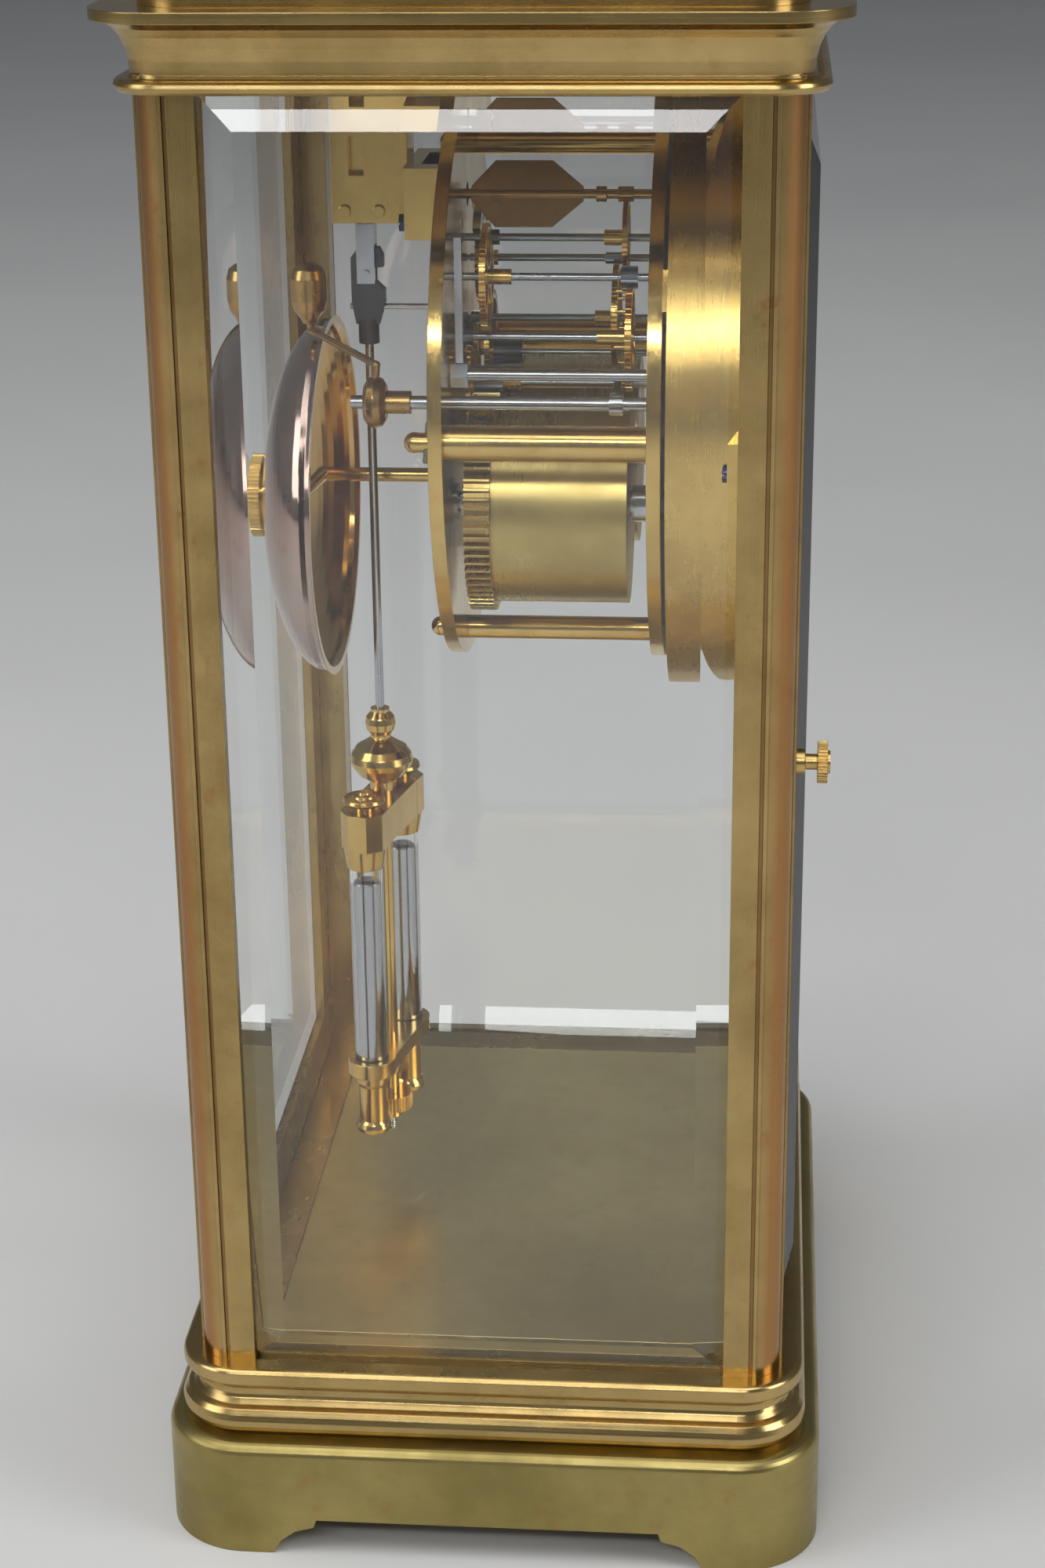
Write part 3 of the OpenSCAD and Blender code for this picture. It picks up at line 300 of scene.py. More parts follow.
def build_patina() -> None:
    """Builds the group that lets a metal's colour wander between bright, dull and stained."""
    group = EffectGroup(
        "patina",
        {"Bright": "Color", "Dull": "Color", "Stain": "Color", "Scale": "Float", "Stain Amount": "Float"},
        {"Color": "Color", "Dullness": "Float"},
    )
    g, given = group.graph, group.source
    place = g.place()
    broad = g.spread(g.noise(place, given["Scale"], 5.0, 0.62), 0.36, 0.66)
    fine_scale = g.math("MULTIPLY", given["Scale"], 6.5)
    fine = g.noise(place, fine_scale, 6.0, 0.68)
    spots = g.spread(fine, 0.56, 0.74)
    patch = g.spread(g.noise(place, g.math("MULTIPLY", given["Scale"], 1.7), 2.0, 0.5), 0.45, 0.62)
    stain = g.math("MULTIPLY", g.math("MULTIPLY", spots, patch), given["Stain Amount"], clamp=True)
    dull = g.math("ADD", g.math("MULTIPLY", broad, 0.75), g.math("MULTIPLY", g.spread(fine, 0.3, 0.7), 0.25))
    group.put("Color", g.mix(stain, g.mix(dull, given["Bright"], given["Dull"]), given["Stain"]))
    group.put("Dullness", g.math("MAXIMUM", dull, stain))


def build_grain() -> None:
    """Builds the group for the fine lines that a brush or a lathe leaves."""
    group = EffectGroup("grain", {"Stretch": "Vector", "Centre": "Vector", "Turned": "Float"}, {"Streak": "Float"})
    g, given = group.graph, group.source
    local = g.vector("SUBTRACT", g.place(), given["Centre"]).outputs[0]
    x, y, z = g.split(local)
    lathe = g.add("ShaderNodeCombineXYZ")
    g.feed(lathe.inputs["X"], g.math("MULTIPLY", g.off_axis(x, z), LATHE_LINES))
    g.feed(lathe.inputs["Y"], g.math("MULTIPLY", y, LATHE_LINES))
    flat = g.vector("MULTIPLY", local, given["Stretch"]).outputs[0]
    chosen = g.add("ShaderNodeMix", data_type="VECTOR")
    for index, value in ((0, given["Turned"]), (4, flat), (5, lathe.outputs[0])):
        g.feed(chosen.inputs[index], value)
    lines = chosen.outputs[1]
    coarse = g.noise(lines, 0.35, 2.0, 0.5)
    streak = g.math("ADD", g.math("MULTIPLY", g.noise(lines, 1.0, 2.0, 0.6), 0.6), g.math("MULTIPLY", coarse, 0.4))
    group.put("Streak", g.spread(streak, 0.3, 0.7))


def build_edge() -> None:
    """Builds the group that rounds hard edges in the shading and finds where handling has rubbed them."""
    group = EffectGroup("edge", {"Radius": "Float"}, {"Rub": "Float", "Normal": "Vector"})
    g, given = group.graph, group.source
    bevel = g.add("ShaderNodeBevel", samples=4)
    g.feed(bevel.inputs["Radius"], given["Radius"])
    facing = g.vector("DOT_PRODUCT", bevel.outputs[0], g.add("ShaderNodeNewGeometry").outputs["Normal"])
    turn = g.spread(g.math("SUBTRACT", 1.0, facing.outputs["Value"]), 0.01, 0.2)
    patchy = g.spread(g.noise(g.place(), 260.0, 4.0), 0.35, 0.6, 0.25, 1.0)
    group.put("Rub", g.math("MULTIPLY", turn, patchy, clamp=True))
    group.put("Normal", bevel.outputs[0])


def build_cavity_shade() -> None:
    """Builds the group that finds hollows by ambient occlusion; its mask lays painted shade there, tinted like copper
    tarnish.
    """
    group = EffectGroup("cavity_shade", {"Depth": "Float"}, {"Painted Shade": "Float"})
    g, given = group.graph, group.source
    shade = g.add("ShaderNodeAmbientOcclusion", samples=6, only_local=True)
    g.feed(shade.inputs["Distance"], given["Depth"])
    group.put("Painted Shade", g.spread(shade.outputs["AO"], 0.85, 0.4))


def build_reed() -> None:
    """Builds the group that finds the round reeds of an upright, which face along none of the three axes; its mask
    lays painted shade on them by which way they face.
    """
    group = EffectGroup("reed", {}, {"Painted Reed Shade": "Float"})
    g = group.graph
    x, y, z = (g.math("ABSOLUTE", part) for part in g.split(g.facing()))
    straight = g.math("MAXIMUM", g.math("MAXIMUM", x, y), z)
    group.put("Painted Reed Shade", g.spread(straight, 0.99, 0.84))


def build_handling() -> None:
    """Builds the group for finger marks, faint scratches and settled dust."""
    group = EffectGroup(
        "handling",
        {"Mark Scale": "Float", "Speck Scale": "Float"},
        {"Smudge": "Float", "Scratch": "Float", "Speck": "Float"},
    )
    g, given = group.graph, group.source
    place = g.place()
    group.put("Smudge", g.spread(g.noise(place, given["Mark Scale"], 4.0, 0.6), 0.5, 0.72))
    lines = []
    for turn in ((0.5, 0.3, 0.9), (2.1, 1.2, 0.2)):
        mapping = g.add("ShaderNodeMapping")
        g.feed(mapping.inputs["Vector"], place)
        mapping.inputs["Rotation"].default_value = turn
        mapping.inputs["Scale"].default_value = (2600.0, 14.0, 2600.0)
        lines.append(g.spread(g.noise(mapping.outputs[0], 1.0, 1.0, 0.4), 0.77, 0.83))
    where = g.spread(g.noise(place, 22.0, 2.0), 0.5, 0.65)
    group.put("Scratch", g.math("MULTIPLY", g.math("MAXIMUM", *lines), where))
    cells = g.add("ShaderNodeTexVoronoi")
    g.feed(cells.inputs["Vector"], place)
    g.feed(cells.inputs["Scale"], given["Speck Scale"])
    dot = g.spread(cells.outputs["Distance"], 0.1, 0.04)
    chosen = g.add("ShaderNodeSeparateColor")
    g.feed(chosen.inputs[0], cells.outputs["Color"])
    group.put("Speck", g.math("MULTIPLY", dot, g.math("GREATER_THAN", chosen.outputs[0], 0.9)))


def build_core() -> None:
    """Builds the group that tells a wheel's steel arbor and pinion from its brass."""
    group = EffectGroup(
        "core",
        {"Axis": "Vector", "Arbor": "Float", "Pinion": "Float", "From": "Float", "To": "Float"},
        {"Steel": "Float"},
    )
    g, given = group.graph, group.source
    x, y, z = g.split(g.vector("SUBTRACT", g.place(), given["Axis"]).outputs[0])
    radius = g.off_axis(x, z)
    thin = g.math("LESS_THAN", radius, given["Arbor"])
    inside = g.math("MULTIPLY", g.math("GREATER_THAN", y, given["From"]), g.math("LESS_THAN", y, given["To"]))
    leaves = g.math("MULTIPLY", inside, g.math("LESS_THAN", radius, given["Pinion"]))
    group.put("Steel", g.math("MAXIMUM", thin, leaves))


def build_effects() -> None:
    """Builds every shared effect."""
    for build in (build_patina, build_grain, build_edge, build_cavity_shade, build_reed, build_handling, build_core):
        build()


def start_material(name: str) -> tuple[bpy.types.Material, Graph, bpy.types.Node]:
    """Makes a material with nodes.

    Args:
        name: the material's name.

    Returns:
        The material, its graph and its main shader.
    """
    material = bpy.data.materials.new(name)
    material.use_nodes = True
    return material, Graph(material.node_tree), material.node_tree.nodes["Principled BSDF"]


@dataclass(frozen=True)
class Wear:
    """Marks of handling: smudges and specks per metre, and what each kind of mark adds to the roughness."""

    smudges: float
    smudge: float
    scratch: float = 0.0
    specks: float = 0.0
    speck: float = 0.0

    def place(self, g: Graph) -> bpy.types.NodeOutputs:
        """Places the marks in a material and returns their masks."""
        return EffectGroup.use(g, "handling", Mark_Scale=self.smudges, Speck_Scale=self.specks)

    def roughen(self, g: Graph, marks: bpy.types.NodeOutputs, level: Wire) -> bpy.types.NodeSocket:
        """Adds the marks to a roughness.

        Args:
            g: the material's graph.
            marks: the masks of the marks.
            level: the roughness of the clean surface.

        Returns:
            The socket of the roughness with the marks on it.
        """
        for label, share in (("Smudge", self.smudge), ("Scratch", self.scratch), ("Speck", self.speck)):
            if share > 0.0:
                level = g.math("MULTIPLY_ADD", marks[label], share, level)
        return g.math("MINIMUM", level, 1.0, clamp=True)


@dataclass(frozen=True)
class Core:
    """The steel heart of a brass wheel, in metres."""

    axis: Point
    arbor: float
    pinion: float
    start: float
    end: float


@dataclass(frozen=True)
class Metal:
    """A worked metal: its colours, polish, lines, wear, painted shade on the reeds and in the hollows and, on a
    wheel, its steel core.
    """

    name: str
    bright: Colour
    dull: Colour
    stain: Colour
    roughness: float = 0.25
    rough_dull: float = 0.15
    grain: Grain = Grain.NONE
    grain_rough: float = 0.1
    grain_depth: float = 0.05
    line_height: float = 0.05 * MM
    patina: float = 30.0
    stain_amount: float = 0.6
    edge: float = 0.3 * MM
    rub: float = 0.5
    rub_gain: float = 1.18
    rub_polish: float = 0.1
    # Painted shade in the hollows: its strength, the reach of the occlusion that finds them, and how far the copper
    # tarnish tint is darkened there.
    hollow: float = 0.0
    hollow_depth: float = 2.5 * MM
    tarnish_dimming_for_shade: float = 0.45
    # Painted copper-dark shade on the round reeds, by which way they face.
    reed: float = 0.0
    wear: Wear = Wear(smudges=45.0, smudge=0.08, scratch=0.06)
    scratch_depth: float = 0.3
    centre: Point = (0.0, 0.0, 0.0)
    turned: bool = False
    core: Union[Core, None] = None
    steel: Colour = (0.42, 0.45, 0.5)

    def build(self) -> bpy.types.Material:
        """Makes the material.

        Returns:
            The finished material.
        """
        material, g, shader = start_material(self.name)
        patina = EffectGroup.use(
            g,
            "patina",
            Bright=self.bright,
            Dull=self.dull,
            Stain=self.stain,
            Scale=self.patina,
            Stain_Amount=self.stain_amount,
        )
        edge = EffectGroup.use(g, "edge", Radius=self.edge) if self.edge > 0.0 else None
        grain = EffectGroup.use(g, "grain", Stretch=self.grain.value, Centre=self.centre, Turned=float(self.turned))
        marks = self.wear.place(g)
        level = g.math("MULTIPLY_ADD", patina["Dullness"], self.rough_dull, self.roughness)
        level = g.math("MULTIPLY_ADD", g.math("SUBTRACT", grain["Streak"], 0.5), self.grain_rough, level)
        level = self.wear.roughen(g, marks, level)
        height = g.math("SUBTRACT", grain["Streak"], g.math("MULTIPLY", marks["Scratch"], self.scratch_depth))
        bump = g.bump(height, self.grain_depth, self.line_height)
        if edge is not None:
            level = g.math("MULTIPLY_ADD", edge["Rub"], -self.rub_polish, level, clamp=True)
            g.feed(bump.inputs["Normal"], edge["Normal"])
        g.feed(shader.inputs["Base Color"], self.paint(g, patina["Color"], edge))
        g.feed(shader.inputs["Roughness"], level)
        g.feed(shader.inputs["Normal"], bump.outputs[0])
        shader.inputs["Metallic"].default_value = 1.0
        return material

    def paint(
        self, g: Graph, colour: bpy.types.NodeSocket, edge: Union[bpy.types.NodeOutputs, None]
    ) -> bpy.types.NodeSocket:
        """Lays rubbed edges, painted shade on the reeds, painted shade tinted like copper tarnish in the hollows, and
        the steel core over the patina.

        Args:
            g: the material's graph.
            colour: the patina's colour.
            edge: the placed edge group, or None where edges stay hard.

        Returns:
            The socket of the finished colour.
        """
        if edge is not None:
            rubbed = tuple(min(1.0, self.rub_gain * part) for part in self.bright)
            colour = g.mix(g.math("MULTIPLY", edge["Rub"], self.rub), colour, rubbed)
        # Painted shade: the round reeds are tinted towards the copper stain by which way they face.
        if self.reed > 0.0:
            painted_reed_shade_mask = EffectGroup.use(g, "reed")["Painted Reed Shade"]
            colour = g.mix(g.math("MULTIPLY", painted_reed_shade_mask, self.reed), colour, self.stain)
        # Painted shade: hollows found by occlusion are darkened towards a dimmed copper tarnish tint.
        if self.hollow > 0.0:
            painted_hollow_shade = EffectGroup.use(g, "cavity_shade", Depth=self.hollow_depth)["Painted Shade"]
            shaded_tarnish = tuple(self.tarnish_dimming_for_shade * part for part in self.stain)
            colour = g.mix(g.math("MULTIPLY", painted_hollow_shade, self.hollow), colour, shaded_tarnish)
        if self.core is not None:
            part = self.core
            steel = EffectGroup.use(
                g, "core", Axis=part.axis, Arbor=part.arbor, Pinion=part.pinion, From=part.start, To=part.end
            )["Steel"]
            colour = g.mix(steel, colour, self.steel)
        return colour


@dataclass(frozen=True)
class Glass:
    """Clear bevelled plate or blown glass, greener where it is seen edge on."""

    name: str
    tint: Colour
    edge_tint: Colour
    face: Point
    ior: float = 1.5
    wear: Wear = Wear(smudges=16.0, smudge=0.004, scratch=0.02, specks=260.0, speck=0.25)

    def build(self) -> bpy.types.Material:
        """Makes the material.

        Returns:
            The finished material.
        """
        material, g, shader = start_material(self.name)
        facing = g.vector("DOT_PRODUCT", g.facing(), self.face)
        edge_on = g.spread(g.math("ABSOLUTE", facing.outputs["Value"]), 0.9, 0.3)
        g.feed(shader.inputs["Base Color"], g.mix(edge_on, self.tint, self.edge_tint))
        g.feed(shader.inputs["Roughness"], self.wear.roughen(g, self.wear.place(g), 0.0))
        shader.inputs["Transmission Weight"].default_value = 1.0
        shader.inputs["IOR"].default_value = self.ior
        clear = g.add("ShaderNodeBsdfTransparent")
        clear.inputs["Color"].default_value = (*self.tint, 1.0)
        mixer = g.add("ShaderNodeMixShader")
        g.feed(mixer.inputs[0], g.add("ShaderNodeLightPath").outputs["Is Shadow Ray"])
        g.feed(mixer.inputs[1], shader.outputs[0])
        g.feed(mixer.inputs[2], clear.outputs[0])
        g.feed(material.node_tree.nodes["Material Output"].inputs["Surface"], mixer.outputs[0])
        return material


@dataclass(frozen=True)
class Enamel:
    """Fired enamel: a wet gloss over a milky body with fine pits."""

    name: str
    body: Colour
    shade: Colour
    roughness: float = 0.12
    gloss: float = 0.6
    gloss_roughness: float = 0.05
    clouds: float = 40.0
    pits: float = 160.0
    pit_strength: float = 0.06
    pit_depth: float = 0.1 * MM
    wear: Wear = Wear(smudges=60.0, smudge=0.1)

    def build(self) -> bpy.types.Material:
        """Makes the material.

        Returns:
            The finished material.
        """
        material, g, shader = start_material(self.name)
        place = g.place()
        cloud = g.spread(g.noise(place, self.clouds, 4.0), 0.35, 0.7)
        g.feed(shader.inputs["Base Color"], g.mix(cloud, self.body, self.shade))
        g.feed(shader.inputs["Roughness"], self.wear.roughen(g, self.wear.place(g), self.roughness))
        shader.inputs["Coat Weight"].default_value = self.gloss
        shader.inputs["Coat Roughness"].default_value = self.gloss_roughness
        bump = g.bump(g.noise(place, self.pits, 2.0), self.pit_strength, self.pit_depth)
        g.feed(shader.inputs["Normal"], bump.outputs[0])
        return material


Finish = Union[Metal, Glass, Enamel]


def joint_place(name: str) -> Vector:
    """Returns the point of a joint, in metres."""
    found = next(joint for joint in frame["joints"] if joint["name"] == name)
    return Vector(found["pos_m"])


def dress(finish: Finish, nodes: Iterable[str]) -> bpy.types.Material:
    """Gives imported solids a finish.

    Args:
        finish: what the solids are made of.
        nodes: the solids' names.

    Returns:
        The material that was made.
    """
    material = finish.build()
    for name in nodes:
        mesh = frame["nodes"][name].data
        mesh.materials.clear()
        mesh.materials.append(material)
        log.info("%s: %s", name, finish.name)
    return material


def add_object(name: str, mesh: bmesh.types.BMesh, material: bpy.types.Material) -> bpy.types.Object:
    """Turns a mesh into an object of the scene.

    Args:
        name: the object's name.
        mesh: its shape, which is used up.
        material: its finish.

    Returns:
        The new object.
    """
    data = bpy.data.meshes.new(name)
    mesh.to_mesh(data)
    mesh.free()
    data.materials.append(material)
    made = bpy.data.objects.new(name, data)
    bpy.context.scene.collection.objects.link(made)
    return made


def add_piece(name: str, mesh: bmesh.types.BMesh, material: bpy.types.Material, body: str) -> None:
    """Turns a mesh into a piece that rides on a body.

    Args:
        name: the piece's name.
        mesh: its shape, in the frame's metres.
        material: its finish.
        body: the body that carries it.
    """
    bmesh.ops.recalc_face_normals(mesh, faces=mesh.faces)
    piece = add_object(name, mesh, material)
    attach(piece, body)
    log.info("%s: added, rides on %s", name, body)


@dataclass
class CaseWork:
    """The brass case: base, pillars, cornice, roof and both doors."""

    brass: Colour = (0.58, 0.42, 0.175)
    aged: Colour = (0.4, 0.285, 0.11)
    copper: Colour = (0.42, 0.19, 0.07)
    plinth: Colour = (0.43, 0.345, 0.13)
    plinth_aged: Colour = (0.28, 0.225, 0.08)
    pillar: Colour = (0.52, 0.375, 0.155)
    pillar_aged: Colour = (0.32, 0.22, 0.085)
    floor: Colour = (0.66, 0.54, 0.25)
    floor_aged: Colour = (0.54, 0.43, 0.19)
    knob: Colour = (0.78, 0.55, 0.21)

    def brushed(self, name: str, bright: Colour, dull: Colour, **changes: object) -> Metal:
        """Returns a brushed brass of the case with some values changed."""
        values = {"grain_rough": 0.12, "grain_depth": 0.04, **changes}
        return Metal(name, bright, dull, self.copper, **values)

    def dress_base(self) -> None:
        """Finishes the plinth, the mouldings and the floor inside."""
        dress(
            self.brushed(
                "plinth_brass",
                self.plinth,
                self.plinth_aged,
                roughness=0.28,
                rough_dull=0.16,
                grain=Grain.LEVEL,
                # Painted shade, tinted like copper tarnish, in the plinth's hollows.
                hollow=0.8,
            ),
            ("base_plinth",),
        )
        dress(
            self.brushed(
                "moulding_brass",
                self.brass,
                self.aged,
                roughness=0.16,
                rough_dull=0.14,
                grain=Grain.LEVEL,
                # Painted shade, tinted like copper tarnish, in the mouldings' hollows.
                hollow=0.8,
            ),
            ("base_sill", "cornice", "roof_plate"),
        )
        dress(
            self.brushed(
                "floor_brass",
                self.floor,
                self.floor_aged,
                roughness=0.3,
                rough_dull=0.12,
                grain=Grain.ALONG_X,
                grain_rough=0.08,
                grain_depth=0.02,
                stain_amount=0.3,
            ),
            ("floor_plate",),
        )

    def dress_uprights(self) -> None:
        """Finishes the pillars, the door frames, the knobs and the screws."""
        dress(
            self.brushed(
                "pillar_brass",
                self.pillar,
                self.pillar_aged,
                roughness=0.16,
                rough_dull=0.16,
                grain=Grain.ALONG_Z,
                stain_amount=1.3,
                # Painted shade, tinted like copper tarnish, in the pillars' hollows.
                hollow=0.9,
                # Painted copper-dark shade on the round reeds, by which way they face.
                reed=0.75,
            ),
            (
                "pillar_front_left",
                "pillar_front_right",
                "pillar_back_left",
                "pillar_back_right",
                "front_door_frame",
                "back_door_frame",
            ),
        )
        dress(
            Metal("knob_brass", self.knob, self.aged, self.copper, roughness=0.14, rough_dull=0.14),
            ("front_door_knob", "back_door_knob", "case_screws"),
        )

    def dress(self) -> None:
        """Finishes the brass of the case."""
        self.dress_base()
        self.dress_uprights()


@dataclass
class Panes:
    """The bevelled panes of the sides and doors, and the jars."""

    tint: Colour = (0.985, 0.995, 0.99)
    edge_tint: Colour = (0.72, 0.86, 0.78)

    def dress(self) -> None:
        """Finishes the glass."""
        dress(Glass("side_pane", self.tint, self.edge_tint, (1.0, 0.0, 0.0)), ("side_glass_left", "side_glass_right"))
        dress(Glass("door_pane", self.tint, self.edge_tint, (0.0, 1.0, 0.0)), ("front_door_glass", "back_door_glass"))
        dress(Glass("jar_glass", self.tint, self.tint, (0.0, 0.0, 1.0)), ("mercury_jars",))


@dataclass
class Movement:
    """The plates, the two trains and the work behind the rear plate."""

    brass: Colour = (0.82, 0.58, 0.2)
    aged: Colour = (0.6, 0.4, 0.125)
    copper: Colour = (0.55, 0.24, 0.07)
    drum: Colour = (0.64, 0.5, 0.19)
    drum_aged: Colour = (0.46, 0.35, 0.12)
    arbor_radius: float = 0.95 * MM

    def metal(self, name: str, **changes: object) -> Metal:
        """Returns the movement's polished brass with some values changed."""
        values = {"bright": self.brass, "dull": self.aged, "roughness": 0.14, "stain_amount": 0.5, **changes}
        return Metal(name, stain=self.copper, rough_dull=0.14, **values)

    def dress_plates(self) -> None:
        """Finishes the plates and what is turned about the dial's centre."""
        dress(
            self.metal("plate_brass", grain=Grain.ALONG_Z, grain_rough=0.1, grain_depth=0.06, roughness=0.1),
            ("front_plate", "rear_plate", "back_cock", "suspension_bracket", "plate_pillars", "bell_stand"),
        )
        dress(
            self.metal(
                "ring_brass",
                turned=True,
                centre=tuple(joint_place("centre_arbor")),
                grain_rough=0.05,
                grain_depth=0.005,
                roughness=0.2,
                edge=0.0,
            ),
            ("dial_ring", "bezel"),
        )
        dress(self.metal("nut_brass", roughness=0.16), ("bell_nut",))

    def dress_wheels(self) -> None:
        """Finishes each wheel with its steel arbor and pinion, whose ends are measured from the plates."""
        front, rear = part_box("front_plate")[1].y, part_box("rear_plate")[0].y
        for joint, node, pinion, start, end in (
            ("intermediate_arbor", "intermediate_wheel", 3.4, rear - 9.7 * MM, rear - 3.7 * MM),
            ("centre_arbor", "centre_wheel", 2.4, rear - 4.1 * MM, rear - 2.0 * MM),
            ("third_arbor", "third_wheel", 1.5, rear - 2.1 * MM, rear),
            ("escape_arbor", "escape_wheel", 1.5, front + 5.9 * MM, front + 10.5 * MM),
            ("strike_second_arbor", "strike_second_wheel", 3.4, rear - 8.1 * MM, rear - 2.3 * MM),
            ("strike_pin_arbor", "strike_pin_wheel", 2.1, rear - 2.9 * MM, rear),
            ("strike_locking_arbor", "strike_locking_wheel", 2.3, front + 2.9 * MM, front + 6.3 * MM),
            ("strike_warning_arbor", "strike_warning_wheel", 1.6, rear - 7.5 * MM, rear - 3.7 * MM),
        ):
            axis = joint_place(joint)
            core = Core((axis.x, 0.0, axis.z), self.arbor_radius, pinion * MM, start, end)
            dress(self.metal(f"{node}_brass", core=core, edge=0.0), (node,))
        dress(self.metal("motion_brass", edge=0.0), ("minute_wheel", "hour_wheel"))

    def dress_drums(self) -> None:
        """Finishes the spring drums, which are turned about their own arbors."""
        for joint, node in (("strike_barrel_turn", "strike_barrel"), ("going_barrel_turn", "going_barrel")):
            dress(
                self.metal(
                    f"{node}_brass",
                    bright=self.drum,
                    dull=self.drum_aged,
                    turned=True,
                    centre=tuple(joint_place(joint)),
                    grain_depth=0.01,
                    roughness=0.22,
                    edge=0.0,
                    # Painted shade, tinted like copper tarnish, in the drums' hollows.
                    hollow=0.7,
                    hollow_depth=1.2 * MM,
                ),
                (node,),
            )

    def dress_steel(self) -> None:
        """Finishes arbors, levers, screws and hands, and the bronze fly and hammer."""
        dress(
            Metal(
                "steel",
                bright=(0.58, 0.6, 0.64),
                dull=(0.42, 0.43, 0.46),
                stain=(0.2, 0.15, 0.1),
                roughness=0.12,
                rough_dull=0.14,
                stain_amount=0.3,
                edge=0.0,
            ),
            (
                "going_arbor",
                "strike_arbor",
                "hammer_arbor",
                "detent_lever",
                "anchor",
                "pillar_pins",
                "door_pivots",
                "pendulum_rod",
                "suspension_spring",
            ),
        )
        dress(
            Metal(
                "dark_steel",
                bright=(0.13, 0.13, 0.14),
                dull=(0.07, 0.07, 0.075),
                stain=(0.09, 0.05, 0.03),
                roughness=0.3,
                rough_dull=0.15,
            ),
            ("pendulum_hook",),
        )
        dress(
            Metal(
                "blued_steel",
                bright=(0.06, 0.085, 0.25),
                dull=(0.03, 0.04, 0.12),
                stain=(0.1, 0.05, 0.12),
                roughness=0.16,
                rough_dull=0.1,
                stain_amount=0.3,
            ),
            ("hour_hand", "minute_hand", "plate_screws"),
        )
        dress(
            Metal(
                "bronze",
                bright=(0.56, 0.36, 0.13),
                dull=(0.36, 0.21, 0.075),
                stain=self.copper,
                roughness=0.18,
                rough_dull=0.16,
            ),
            ("fly", "hammer"),
        )

    def dress(self) -> None:
        """Finishes the whole movement."""
        self.dress_plates()
        self.dress_wheels()
        self.dress_drums()
        self.dress_steel()


